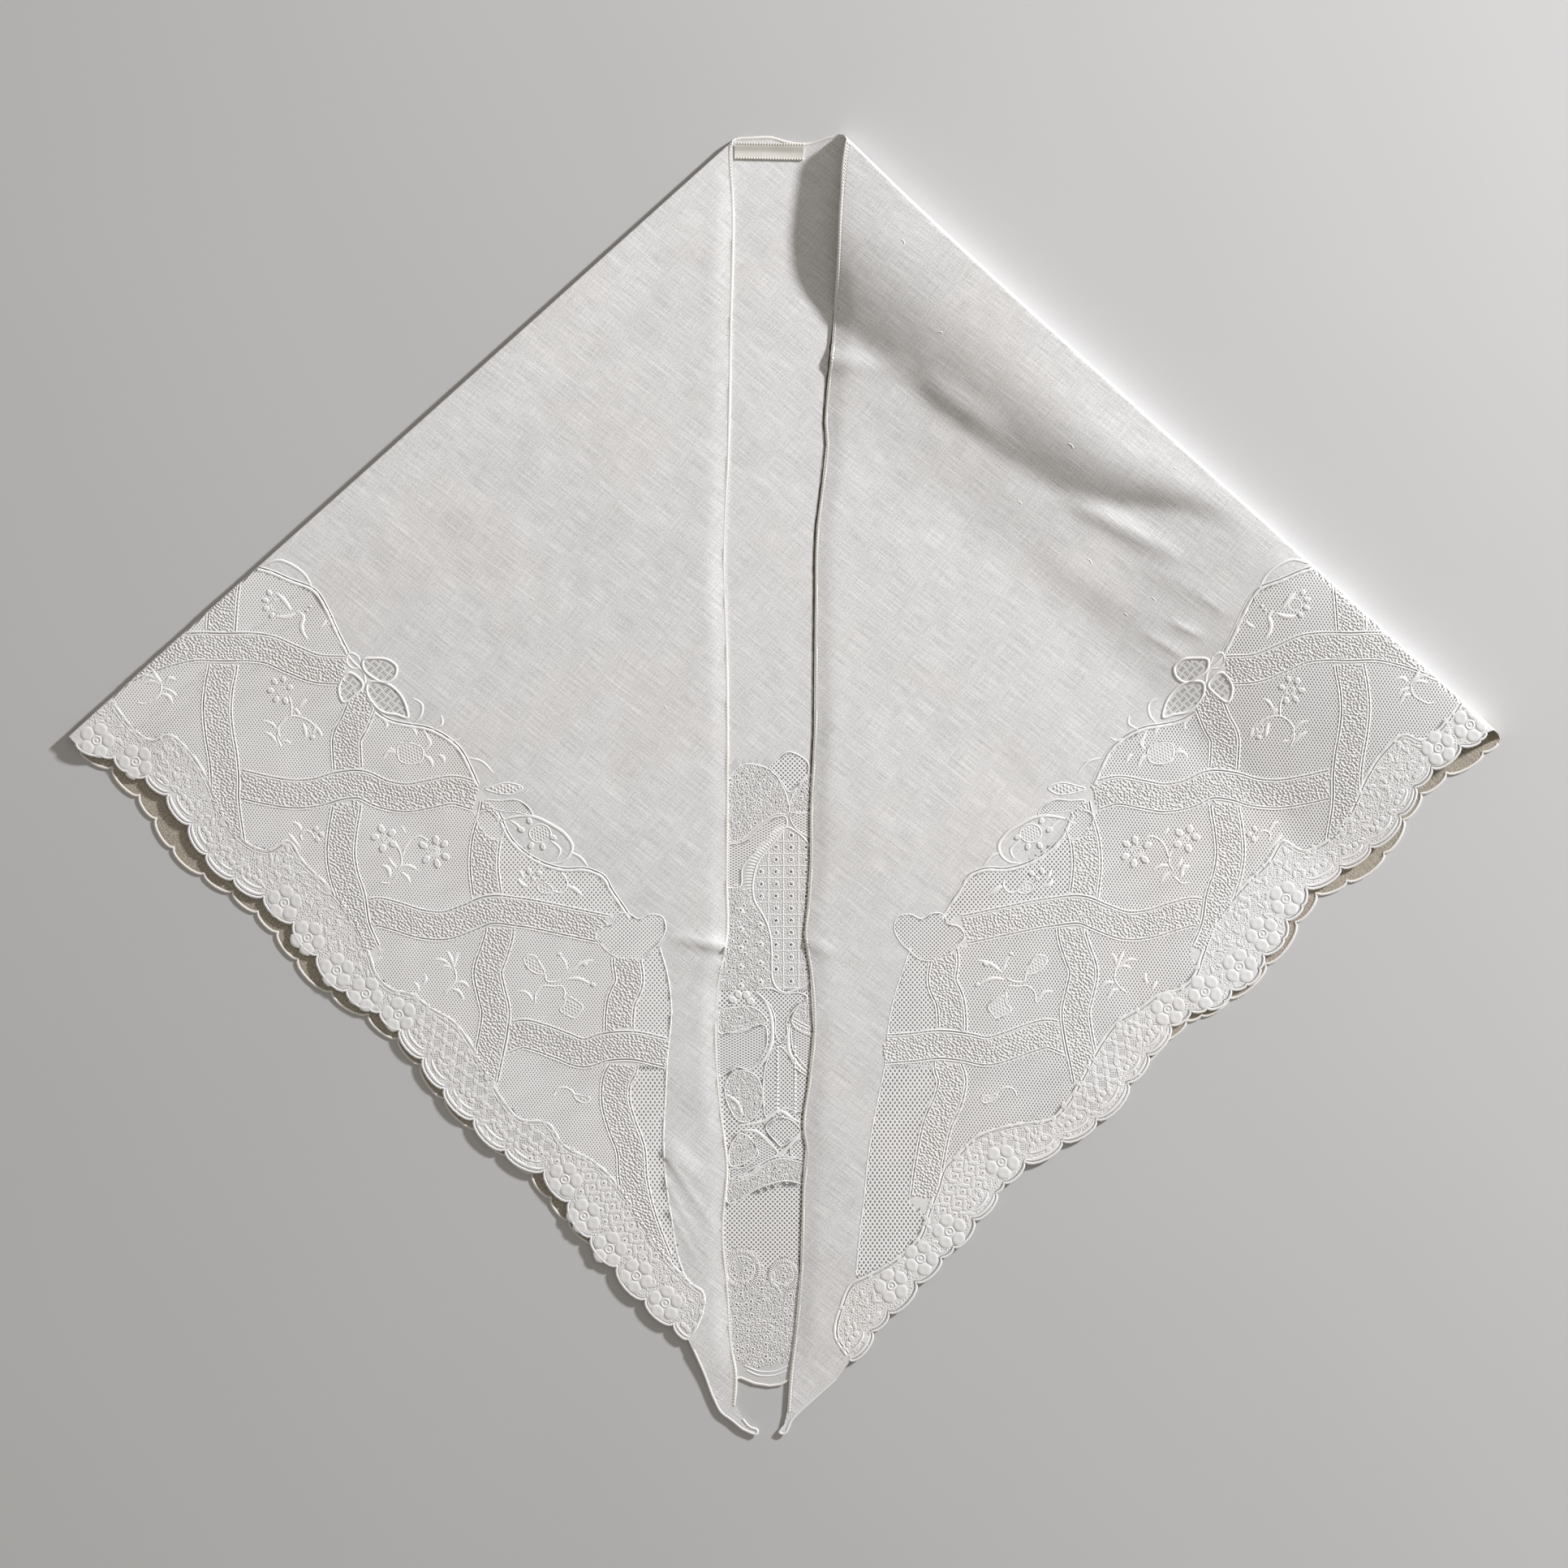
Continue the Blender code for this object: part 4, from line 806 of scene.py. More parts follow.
def makeWeaveGroup():  # threads both ways, thin bright slubs one way, and slow unevenness
    group, given, result = newGroup("weaveThreads", {"Vector": (0.0, 0.0, 0.0), "Slubs": 1.0, "Threads": 1.0},
                                    ["Tone", "Height"])
    warp = stretchedNoise(group, given["Vector"], (1650, 60, 1), 3.0)
    weft = stretchedNoise(group, given["Vector"], (70, 1600, 1))
    grain = stretchedNoise(group, given["Vector"], (1400, 1200, 1), 3.0)
    slub = stretchedNoise(group, given["Vector"], (2100, 22, 1), 1.0)
    thick = mathNode(group, "MAXIMUM", mathNode(group, "SUBTRACT", slub, 0.6), 0.0)
    cross = mathNode(group, "MULTIPLY", warp, 0.38)
    cross = mathNode(group, "ADD", cross, mathNode(group, "MULTIPLY", weft, 0.22))
    cross = mathNode(group, "ADD", cross, mathNode(group, "MULTIPLY", grain, 0.4))
    fine = mathNode(group, "MULTIPLY", mathNode(group, "SUBTRACT", cross, 0.5), given["Threads"])
    slow = mathNode(group, "SUBTRACT", stretchedNoise(group, given["Vector"], (60, 26, 1), 3.0), 0.5)
    streaks = mathNode(group, "MULTIPLY", thick, mathNode(group, "MULTIPLY", given["Slubs"], 2.4))
    tone = mathNode(group, "ADD", mathNode(group, "ADD", mathNode(group, "MULTIPLY", fine, 3.6), streaks),
                    mathNode(group, "MULTIPLY", slow, 0.3))
    group.links.new(mathNode(group, "ADD", tone, 0.5), result["Tone"])
    group.links.new(mathNode(group, "ADD", fine, mathNode(group, "MULTIPLY", streaks, 0.8)), result["Height"])
    return group


def makeAgeGroup():  # faint yellowing in patches, and a few small brown specks
    group, given, result = newGroup("ageMarks", {"Vector": (0.0, 0.0, 0.0), "Specks": 0.5}, ["Mask"])
    cloud = node(group, "ShaderNodeTexNoise", {"Vector": given["Vector"], "Scale": 14.0, "Detail": 4.0})
    patches = mathNode(group, "MULTIPLY", mathNode(group, "SUBTRACT", cloud.outputs["Fac"], 0.5), 0.35)
    speck = node(group, "ShaderNodeTexVoronoi", {"Vector": given["Vector"], "Scale": 21.0, "Randomness": 1.0})
    near = mathNode(group, "LESS_THAN", speck.outputs["Distance"], 0.014)
    total = mathNode(group, "ADD", mathNode(group, "MAXIMUM", patches, 0.0),
                     mathNode(group, "MULTIPLY", near, given["Specks"]))
    group.links.new(total, result["Mask"])
    return group


def makeTwistGroup():  # the fine strands of embroidery cotton
    group, given, result = newGroup("threadStrands", {"Vector": (0.0, 0.0, 0.0), "Fineness": 2200.0},
                                    ["Tone", "Height"])
    strands = node(group, "ShaderNodeTexNoise",
                   {"Vector": given["Vector"], "Scale": given["Fineness"], "Detail": 2.0, "Roughness": 0.6})
    clumps = node(group, "ShaderNodeTexNoise", {"Vector": given["Vector"], "Scale": 240.0, "Detail": 2.0})
    tone = mathNode(group, "ADD", mathNode(group, "MULTIPLY", strands.outputs["Fac"], 0.6),
                    mathNode(group, "MULTIPLY", clumps.outputs["Fac"], 0.4))
    group.links.new(tone, result["Tone"])
    group.links.new(strands.outputs["Fac"], result["Height"])
    return group


weaveGroup, ageGroup, strandGroup = makeWeaveGroup(), makeAgeGroup(), makeTwistGroup()
ageColour = (0.66, 0.55, 0.36, 1)
lookColumns = ["light", "dark", "rough", "bump", "of"]
lookRows = {  # the colours of each finish in light and shade, its roughness, bump and what it is made of
    "muslin": ((0.93, 0.93, 0.92), (0.55, 0.55, 0.545), 0.86, 0.16, "weave"),
    # the net's ground is painted shade: a dark sheet under the lattice, so that its holes look dark
    "netGround": ((0.3, 0.3, 0.29), (0.18, 0.18, 0.175), 0.95, 0.1, "weave"),
    "ribbonGround": ((0.9, 0.9, 0.89), (0.7, 0.7, 0.69), 0.92, 0.15, "weave"),
    "bandGround": ((0.88, 0.88, 0.87), (0.7, 0.7, 0.69), 0.92, 0.2, "weave"),
    # the strip's ground is darker as painted shade on the strip
    "stripGround": ((0.74, 0.74, 0.73), (0.56, 0.56, 0.55), 0.92, 0.2, "weave"),
    "shadedBack": ((0.5, 0.455, 0.375), (0.24, 0.21, 0.165), 0.95, 0.3, "weave"),
    "satin": ((0.93, 0.93, 0.92), (0.8, 0.8, 0.79), 0.7, 0.12, "strand"),
    "padding": ((0.9, 0.9, 0.89), (0.72, 0.72, 0.71), 0.85, 0.3, "strand"),
    "netThread": ((0.98, 0.98, 0.97), (0.9, 0.9, 0.89), 0.85, 0.1, "strand"),
    "backThread": ((0.88, 0.86, 0.82), (0.74, 0.71, 0.66), 0.85, 0.15, "strand"),
    # darker brown thread on the back's peeking edge: painted shade from the front layer above
    "wornThread": ((0.68, 0.63, 0.54), (0.5, 0.46, 0.38), 0.9, 0.1, "strand"),
    "hemCloth": ((0.9, 0.885, 0.845), (0.66, 0.64, 0.59), 0.86, 0.15, "strand"),
    # dark lines in grooves beside cords and in slits: painted shade, with the real pulled-thread holes there
    "groove": ((0.3, 0.295, 0.28), (0.2, 0.195, 0.185), 0.95, 0.0, "strand"),
    "shade": ((0.2, 0.18, 0.145), (0.12, 0.105, 0.08), 0.95, 0.0, "strand"),
    # dark discs in eyelets, tile holes and pin-holes: painted shade in the holes
    "hole": ((0.11, 0.108, 0.105), (0.07, 0.07, 0.067), 0.95, 0.0, "strand"),
    "cottonTape": ((0.85, 0.84, 0.79), (0.68, 0.66, 0.6), 0.9, 0.4, "strand"),
}
materials = {}


def makeMaterial(name, look):
    material = bpy.data.materials.new(name)
    material.use_nodes = True
    tree = material.node_tree
    shader = tree.nodes["Principled BSDF"]
    shader.inputs["Roughness"].default_value = look["rough"]
    place = node(tree, "ShaderNodeTexCoord").outputs["Object"]
    vector = place
    if look["of"] == "weave":
        vector = node(tree, "ShaderNodeUVMap", uv_map="threads").outputs[0]
    group = weaveGroup if look["of"] == "weave" else strandGroup
    threads = node(tree, "ShaderNodeGroup", node_tree=group)
    tree.links.new(vector, threads.inputs["Vector"])
    colour = node(tree, "ShaderNodeMix", {6: (*look["dark"], 1), 7: (*look["light"], 1)}, data_type="RGBA")
    tree.links.new(threads.outputs["Tone"], colour.inputs[0])
    age = node(tree, "ShaderNodeGroup", node_tree=ageGroup)
    tree.links.new(place, age.inputs["Vector"])
    aged = node(tree, "ShaderNodeMix", {6: colour.outputs[2], 7: ageColour, 0: age.outputs["Mask"]},
                data_type="RGBA")
    tree.links.new(aged.outputs[2], shader.inputs["Base Color"])
    if look["bump"]:
        bump = node(tree, "ShaderNodeBump", {"Height": threads.outputs["Height"], "Strength": look["bump"],
                                             "Distance": 0.0002})
        tree.links.new(bump.outputs[0], shader.inputs["Normal"])
    materials[name] = material


for name, row in lookRows.items():
    makeMaterial(name, dict(zip(lookColumns, row)))
print("looks made")

# Pieces
pieceNames = {"muslin": [], "tape": []}


def finishPiece(obj, slot="muslin"):
    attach(obj, "root")
    pieceNames[slot].append(obj)
    return obj


def moveVertices(mesh, change):
    places = np.empty(len(mesh.vertices) * 3, np.float32)
    mesh.vertices.foreach_get("co", places)
    moved = change(places.reshape(-1, 3).astype(float))
    mesh.vertices.foreach_set("co", moved.astype(np.float32).ravel())
    mesh.update()


def aboveFloor(places):
    places[:, 2] = np.maximum(places[:, 2], 0.03 * mm)
    return places


def grow(name, base, tree, inputs, where, look):  # run a tree on a base mesh and lay the result on the cloth
    obj = newObject(name, base)
    modifier = obj.modifiers.new("growth", "NODES")
    modifier.node_group = tree
    values = {**inputs, "Material": materials[look]}
    for item in tree.interface.items_tree:
        if item.item_type == "SOCKET" and item.in_out == "INPUT" and item.name in values:
            modifier[item.identifier] = values[item.name]
    grown = bpy.data.meshes.new_from_object(obj.evaluated_get(bpy.context.evaluated_depsgraph_get()))
    obj.modifiers.remove(modifier)
    obj.data = grown
    moveVertices(grown, lambda places: aboveFloor(settle(places, where)))
    for extra in [a.name for a in grown.attributes if a.name in ("girth", "reach", "turn", "size")]:
        grown.attributes.remove(grown.attributes[extra])
    grown.name = name
    print(name, len(grown.vertices), "points,", len(grown.polygons), "faces")
    return finishPiece(obj)


def growCords(name, lines, flatness, where, look, sides=6):  # cords along lines, on the cloth
    grow(name, lineMesh("cords", lines), cordTree, {"Sides": sides, "Flatness": flatness}, where, look)


def pointMesh(name, points, columns):  # loose points with a value each, for a tree to read
    mesh = newMesh(name, points)
    for label, values in columns.items():
        values = np.asarray(values, np.float32)
        kind, field = ("FLOAT_VECTOR", "vector") if values.ndim == 2 else ("FLOAT", "value")
        mesh.attributes.new(label, kind, "POINT").data.foreach_set(field, values.ravel())
    return mesh


def lineMesh(name, lines):  # lines of points: each is (points, height, girth or reach, closed)
    points, edges, values = [], [], []
    for line, height, value, closed in lines:
        first, count = len(points), len(line)
        points += [(x, y, height) for x, y in line]
        edges += [(first + i, first + i + 1) for i in range(count - 1)]
        if closed:
            edges.append((first + count - 1, first))
        values += list(np.broadcast_to(value, count))
    mesh = newMesh(name, points, edges)
    for label in ("girth", "reach"):
        mesh.attributes.new(label, "FLOAT", "POINT").data.foreach_set("value", np.array(values, np.float32))
    return mesh


def tapered(points, girth, step=0.8):  # a satin stroke: its points, and how thick it is along them
    line = softened(points, step)
    share = np.linspace(0, 1, len(line))
    return line, 0.22 + (girth - 0.22) * np.sin(math.pi * share) ** 0.6


def uneven(line, girth, amount=0.22):  # a girth that varies along a line, as in hand work
    along = np.arange(len(line))
    phase = abs(line[0][0]) % 6.0
    return girth * (1 + amount * (0.6 * np.sin(along * 1.9 + phase) + 0.4 * np.sin(along * 0.83 + 2 * phase)))


def keptRuns(line, keep):  # the parts of a line where keep holds
    runs, current = [], []
    for point, held in zip(line, keep):
        if held:
            current.append(point)
        elif len(current) > 1:
            runs.append(np.array(current))
            current = []
        else:
            current = []
    if len(current) > 1:
        runs.append(np.array(current))
    return runs


def gridPlaces(outline, pitch, turn, stagger=False):  # points of a turned square grid inside an outline
    outline = np.asarray(outline, float)
    centre = outline.mean(axis=0)
    reach = np.linalg.norm(outline - centre, axis=1).max() + pitch
    steps = np.arange(-math.ceil(reach / pitch), math.ceil(reach / pitch) + 1) * pitch
    across, up = np.meshgrid(steps, steps)
    if stagger:
        across = across + (np.arange(len(steps)) % 2)[:, None] * pitch / 2
    c, s = math.cos(turn), math.sin(turn)
    points = np.column_stack([(across * c - up * s).ravel(), (across * s + up * c).ravel()]) + centre
    return points[within(points, outline)]


class Front:  # the chart of one front, in laid millimetres
    def __init__(self, where):
        self.where = where
        self.sign = 1.0 if where == "left" else -1.0
        own = ownLines[where]
        self.ribbons = {name: softened(flipped(own.get(name, points), where), 2.0)
                        for name, (points, _) in ribbonRows.items()}
        inner = {name: own.get(name, points) for name, points in innerLines.items()}
        band = own.get("band", bandLine)
        self.inner = {name: softened(flipped(points, where), 1.6) for name, points in inner.items()}
        self.net = flipped([(-279, 114), (-354, 47)] + band[1:] + inner["margin"][::-1]
                           + inner["middle"][::-1]
                           + inner["upper"][::-1] + inner["fold"][::-1], where)
        self.edge = scalloped(where + " front")
        line = flipped(band + innerEnds[where], where)
        self.band = np.concatenate([line, self.edge[::-1]])
        self.bandLine = softened(line, 2.2)
        self.leaves = [(kind, pitch, softened(flipped(points, where), 1.4, closed=True))
                       for kind, pitch, points in leafRows]
        if where == "right":  # the middle bow's knot lies nearer to the hem there
            kind, pitch, outline = self.leaves[knotRow]
            self.leaves[knotRow] = (kind, pitch, outline - (5.5, 0))

    def ribbonGap(self, points):
        return np.min([gapTo(points, line) for line in self.ribbons.values()], axis=0)

    def inLeaf(self, points):
        return np.any([within(points, outline) for _, _, outline in self.leaves], axis=0)


fronts = {where: Front(where) for where in ("left", "right")}
strip = [(kind, pitch, softened(points, 1.6, closed=True)) for kind, pitch, points in stripRows]
leafOutline = softened(eyeletLeaf, 1.6, closed=True)
backEdge = np.concatenate([scalloped("left back"), np.array(backPoint), scalloped("right back")[::-1]])

sheetSizes = {"open": 7.2, "front": 3.8, "line": 3.6, "loopAlong": 2.4, "clear": 1.7, "edgeClear": 1.4}
threadTurns = {"left": 31.8, "back": 50.0, "right": 43.2}  # of the weft on the cut, in degrees
# the net's, the strip's and the back edge's grounds are darker as painted shade
groundNames = ["muslin", "netGround", "ribbonGround", "bandGround", "shadedBack", "stripGround"]


def flatOutline():
    rightFront = np.concatenate([scalloped("right front"), rightTip[::-1], rightHem[::-1]]) * mm
    leftFront = np.concatenate([leftHem, leftTip, scalloped("left front")[::-1]]) * mm
    whole = np.concatenate([
        np.array(backPoint) * mm, scalloped("right back")[:0:-1] * mm, folds["right"].mirror(rightFront),
        np.array(neckEdge[::-1]) * mm, folds["left"].mirror(leftFront), scalloped("left back")[1:] * mm,
    ])
    points = []
    for a, b in zip(whole, np.roll(whole, -1, axis=0)):
        centre = ((a + b) / 2)[None]
        spacing = sheetSizes["front"] * mm
        for fold in folds.values():
            down, out = fold.split(centre)
            if abs(out[0]) < math.pi / 2 * fold.read("radius", down)[0] + np.linalg.norm(b - a) / 2:
                spacing = 0.9 * mm
        steps = max(1, math.ceil(np.linalg.norm(b - a) / spacing))
        points += [a + (b - a) * step / steps for step in range(steps)]
    return np.array(points)


def regionLines():  # lines that part one ground from another, on the flat cut in metres
    lines = []
    for where, front in fronts.items():
        half = ribbonWidth / 2
        drawn = [offsetLine(line, side * half) for line in front.ribbons.values() for side in (-1, 1)]
        drawn += [front.bandLine] + list(front.inner.values())
        drawn += [outline for _, _, outline in front.leaves]
        for line in drawn:
            lines.append(folds[where].mirror(line[:: 2] * mm))
    lines += [outline[:: 2] * mm for _, _, outline in strip] + [leafOutline[:: 2] * mm]
    lines.append(softened([(-36, -106), (18, -106)], 2.2) * mm)
    for start, end, _, half in creaseRows:
        if half < 3:  # a narrow crease needs its own rows of points
            line = softened(np.array([start, end]), 3.0)
            where = "right" if start[0] > 0 else "left"
            lines += [folds[where].mirror(offsetLine(line, side * half * 0.9) * mm) for side in (-1, 0, 1)]
    return lines


def groundOf(flat):  # which ground each flat place belongs to
    ground = np.zeros(len(flat), int)
    for where, front in fronts.items():
        _, out = folds[where].split(flat)
        turned = out > 0
        laid = folds[where].mirror(flat[turned]) / mm
        found = np.zeros(len(laid), int)
        found[within(laid, front.band)] = 3
        net = within(laid, front.net)
        found[net] = 1
        found[net & (front.ribbonGap(laid) < ribbonWidth / 2)] = 2
        for kind, _, outline in front.leaves:
            found[within(laid, outline)] = 1 if kind == "net" else 3
        ground[turned] = found
    rest = (folds["left"].split(flat)[1] <= 0) & (folds["right"].split(flat)[1] <= 0)
    back = flat[rest] / mm
    found = np.zeros(len(back), int)
    found[(back[:, 1] < 12) & (np.abs(back[:, 0] + 8) < 26)] = 5
    found[(back[:, 1] < -106) & (back[:, 1] > -250) & (np.abs(back[:, 0] + 8) < 26)] = 1
    found[(gapTo(back, backEdge) < 14) & (np.abs(back[:, 0] + 8) > 28)] = 4
    for kind, _, outline in strip:
        found[within(back, outline)] = {"net": 1}.get(kind, 5)
    ground[rest] = found
    return ground


def makeSheet():
    outline = flatOutline()
    lines = regionLines()
    low, high = outline.min(axis=0), outline.max(axis=0)
    grids = []
    for key, fine in (("open", False), ("front", True)):
        spacing = sheetSizes[key] * mm
        rows = np.arange(low[1], high[1], spacing * math.sqrt(3) / 2)
        grid = np.array([(x, y) for i, y in enumerate(rows)
                         for x in np.arange(low[0] + (i % 2) * spacing / 2, high[0], spacing)])
        shown = np.zeros(len(grid), bool)
        for fold in folds.values():
            shown |= fold.split(grid)[1] > 0
        shown |= (np.abs(grid[:, 0] + 8 * mm) < 34 * mm) | (grid[:, 1] > 0.3)
        grids.append(grid[shown == fine])
    grid = np.concatenate(grids)
    clear = np.ones(len(grid), bool)
    for fold in folds.values():
        down, out = fold.split(grid)
        clear &= np.abs(out) > math.pi / 2 * fold.read("radius", down) + 1.2 * mm
    grid = grid[clear]
    loops = []
    for fold in folds.values():
        for degrees in (-90, -87, -80, -66, -44, -22, 0, 18, 34, 48, 60, 70, 78, 84, 88, 90):
            downs = np.arange(-20, 440, sheetSizes["loopAlong"]) * mm
            outs = fold.read("radius", downs) * math.radians(degrees)
            loops.append(fold.start + downs[:, None] * fold.along - outs[:, None] * fold.inward)
    loops = np.concatenate(loops)
    kept = []
    for line in lines:
        near = gapTo(line, outline, closed=True)
        held = within(line, outline) & (near > 0.9 * mm)
        for fold in folds.values():
            down, out = fold.split(line)
            held &= np.abs(out) > math.pi / 2 * fold.read("radius", down) + 0.8 * mm
        kept += keptRuns(line, held)
    dense = np.concatenate([softened(line, 1.2 * mm) for line in kept])
    tree = KDTree(len(dense))
    for i, point in enumerate(dense):
        tree.insert((point[0], point[1], 0), i)
    tree.balance()
    apart = np.array([tree.find((x, y, 0))[2] for x, y in grid]) > sheetSizes["clear"] * mm
    grid = np.concatenate([grid[apart], loops])
    near = gapTo(grid, outline, closed=True)
    grid = grid[within(grid, outline) & (near > sheetSizes["edgeClear"] * mm)]
    points, edges = [outline], [(i, (i + 1) % len(outline)) for i in range(len(outline))]
    first = len(outline)
    for line in kept:
        points.append(line)
        edges += [(first + i, first + i + 1) for i in range(len(line) - 1)]
        first += len(line)
    points = np.concatenate(points + [grid])
    flat, _, faces, _, _, _ = delaunay_2d_cdt([Vector(p) for p in points], edges, [], 1, 1e-7)
    flat = np.array([tuple(p) for p in flat])
    corners = np.array([tuple(face) for face in faces])
    placed = settle(np.column_stack([flat / mm, np.zeros(len(flat))]), "back")
    mesh = newMesh("clothSheet", placed, faces=corners.tolist())
    for name in groundNames:
        mesh.materials.append(materials[name])
    mesh.polygons.foreach_set("material_index", groundOf(flat[corners].mean(axis=1)).astype(np.int32))
    turn = np.full(len(corners), threadTurns["back"])
    for where, fold in folds.items():
        turn[fold.split(flat[corners].mean(axis=1))[1] > 0] = threadTurns[where]
    turn = np.radians(turn).repeat(3)
    x, y = flat[corners.ravel()].T
    threads = np.column_stack([x * np.cos(turn) + y * np.sin(turn), y * np.cos(turn) - x * np.sin(turn)])
    uv = mesh.uv_layers.new(name="threads")
    uv.data.foreach_set("uv", threads.astype(np.float32).ravel())
    mesh.shade_smooth()
    sheet = newObject("clothSheet", mesh)
    solid = sheet.modifiers.new("thickness", "SOLIDIFY")
    solid.thickness, solid.offset = clothShape["thick"], 0.0
    sheet.data = bpy.data.meshes.new_from_object(sheet.evaluated_get(bpy.context.evaluated_depsgraph_get()))
    sheet.modifiers.remove(solid)
    sheet.data.set_sharp_from_angle(angle=0.9)
    a, b, c = (flat[corners[:, i]] for i in range(3))
    area = 0.5 * np.abs((b - a)[:, 0] * (c - a)[:, 1] - (b - a)[:, 1] * (c - a)[:, 0]).sum()
    size = flat.max(axis=0) - flat.min(axis=0)
    print("clothSheet", len(sheet.data.polygons), "faces, cut", size.round(4), "area", round(float(area), 4))
    return finishPiece(sheet), size, float(area)


clothSheet, cutSize, cutArea = makeSheet()

# The net between the ribbons
netSizes = {"left": 0.42, "right": 0.5, "back": 0.52, "depth": 0.12, "foot": 0.16, "clear": 0.35,
            "smallStretch": {"front": 1.2, "back": 1.41}}
cellSizes = {  # how wide and tall a mesh of the net is, and its turn in degrees
    "left": (1.61, 2.21, -3.0), "right": (1.69, 2.6, -3.5), "open": (2.3, 3.3, 0.0),
    "middle": (2.25, 2.6, 0.0), "flat": (2.82, 1.44, 0.0), "back": (2.5, 2.5, 0.0),
}
middleNet = [(-152, -12), (-151, -68), (-130, -66), (-112, -71), (-78, -80), (-78, -60), (-112, -38)]


def rhombPlaces(outline, wide, tall, turn):  # centres of meshes that fill an outline, row over row
    outline = np.asarray(outline, float)
    centre = outline.mean(axis=0)
    reach = np.linalg.norm(outline - centre, axis=1).max() + tall
    columns = np.arange(-math.ceil(reach / wide), math.ceil(reach / wide) + 1) * wide
    rows = np.arange(-math.ceil(2 * reach / tall), math.ceil(2 * reach / tall) + 1)
    across, up = np.meshgrid(columns, rows * tall / 2)
    across = across + (rows % 2)[:, None] * wide / 2
    c, s = math.cos(turn), math.sin(turn)
    places = np.column_stack([(across * c - up * s).ravel(), (across * s + up * c).ravel()]) + centre
    return places[within(places, outline)]


def netCells(where):
    points, sizes, turns = [], [], []

    def add(outline, kind, keep=None):
        wide, tall, degrees = kind
        turn = math.radians(degrees)
        places = rhombPlaces(outline, wide, tall, turn)
        if keep is not None:
            places = places[keep(places)]
        points.append(places)
        sizes.append(np.tile((wide, tall, 1.0), (len(places), 1)))
        turns.append(np.full(len(places), turn))

    def smallNet(pitch, outline, stretch, other=((0, 0), (0, 0.1), (0.1, 0))):
        add(outline, cellSizes["flat"] if pitch == 1.35 else (pitch * stretch, pitch * stretch, 0.0),
            lambda places: (gapTo(places, outline, closed=True) > 0.3) & ~within(places, other))

    if where == "back":
        between = np.array([(-34, -106), (16, -106), (16, -250), (-34, -250)], float)
        add(between, cellSizes["back"], lambda places: ~np.any(
            [within(places, outline) | (gapTo(places, outline, closed=True) < 0.4)
             for _, _, outline in strip + [("leaf", 0, leafOutline)]], axis=0))
        for kind, pitch, outline in strip:
            if kind == "net":
                smallNet(pitch, outline, netSizes["smallStretch"]["back"], strip[-1][2])
    else:
        front = fronts[where]
        upperPost, lastPost = front.ribbons["post4a"], front.ribbons["post4b"]
        middle = flipped(middleNet, where)

        def part(places):  # which net each place is in
            inMargin = front.sign * places[:, 0] > np.interp(-places[:, 1], -lastPost[:, 1],
                                                             front.sign * lastPost[:, 0])
            inMargin &= places[:, 1] < -146
            pastPost = front.sign * places[:, 0] > np.interp(-places[:, 1], -upperPost[:, 1],
                                                             front.sign * upperPost[:, 0])
            coarse = within(places, middle) | (pastPost & (places[:, 1] < -84) & (places[:, 1] > -136))
            return np.where(inMargin, "open", np.where(coarse, "middle", where))

        for kind in ("open", "middle", where):
            add(front.net, cellSizes[kind], lambda places: (
                (part(places) == kind) & ~front.inLeaf(places)
                & (front.ribbonGap(places) > ribbonWidth / 2 - 0.45 * cellSizes[kind][1])
                & (gapTo(places, front.net, closed=True) > netSizes["clear"])))
        for kind, pitch, outline in front.leaves:
            if kind == "net":
                smallNet(pitch, outline, netSizes["smallStretch"]["front"])
    places = np.concatenate(points)
    return np.column_stack([places, np.zeros(len(places))]), np.concatenate(sizes), np.concatenate(turns)


for where, name in (("left", "netLeft"), ("right", "netRight"), ("back", "netBack")):
    places, sizes, turns = netCells(where)
    grow(name, pointMesh(name, places, {"size": sizes, "turn": turns}), netTree, {
        "Hole Share": netSizes[where], "Depth": netSizes["depth"], "Foot": netSizes["foot"],
    }, where, "netThread")

# Ribbons: double cords at both edges, a dark line in the groove between them as painted shade and
# pulled-thread holes, and seed stitches between the edges
surface = 0.175  # of the cloth, above its middle
ribbonSizes = {"cord": 0.42, "cordGap": 1.4, "cordFlatness": 0.5, "groove": 0.23, "fillHalf": 5.7}
seedSizes = {
    "left": {"Gap": 1.24, "Length": 1.22, "Width": 0.46, "Height": 0.28, "Slant": -0.75, "Spread": 0.35},
    "right": {"Gap": 1.26, "Length": 1.15, "Width": 0.48, "Height": 0.26, "Slant": -0.7, "Spread": 0.5},
}


def ribbonParts(where):  # the ribbons' edge cords, the dark lines of painted groove shade in them, and the faces between them
    front = fronts[where]
    half = ribbonWidth / 2
    cords, grooves, faces, corners = [], [], [], []
    for name, (_, ends) in ribbonRows.items():
        line = front.ribbons[name]

        def shows(points, slack=0.0):
            clear = within(points, front.net) | (gapTo(points, front.net, closed=True) < 0.8)
            for other in ends:
                clear &= gapTo(points, front.ribbons[other]) > half - slack
            return clear & ~front.inLeaf(points)

        for side in (-1, 1):
            for share, made, girth in ((0, cords, "cord"), (1, cords, "cord"), (0.5, grooves, "groove")):
                edge = offsetLine(line, side * (half - ribbonSizes["cord"] - ribbonSizes["cordGap"] * share))
                for run in keptRuns(edge, shows(edge)):
                    made.append((run, surface, ribbonSizes[girth], False))
        rows = [offsetLine(line, ribbonSizes["fillHalf"] * share) for share in (-1, -0.5, 0, 0.5, 1)]
        for left, right in zip(rows[:-1], rows[1:]):
            centres = (left[:-1] + left[1:] + right[:-1] + right[1:]) / 4
            for i in np.flatnonzero(shows(centres, -1.0)):
                corner = len(corners)
                corners += [left[i], left[i + 1], right[i + 1], right[i]]
                faces.append((corner, corner + 3, corner + 2, corner + 1))
    corners = np.column_stack([np.array(corners), np.full(len(corners), surface)])
    return cords, grooves, newMesh("ribbonFaces", corners, faces=faces)


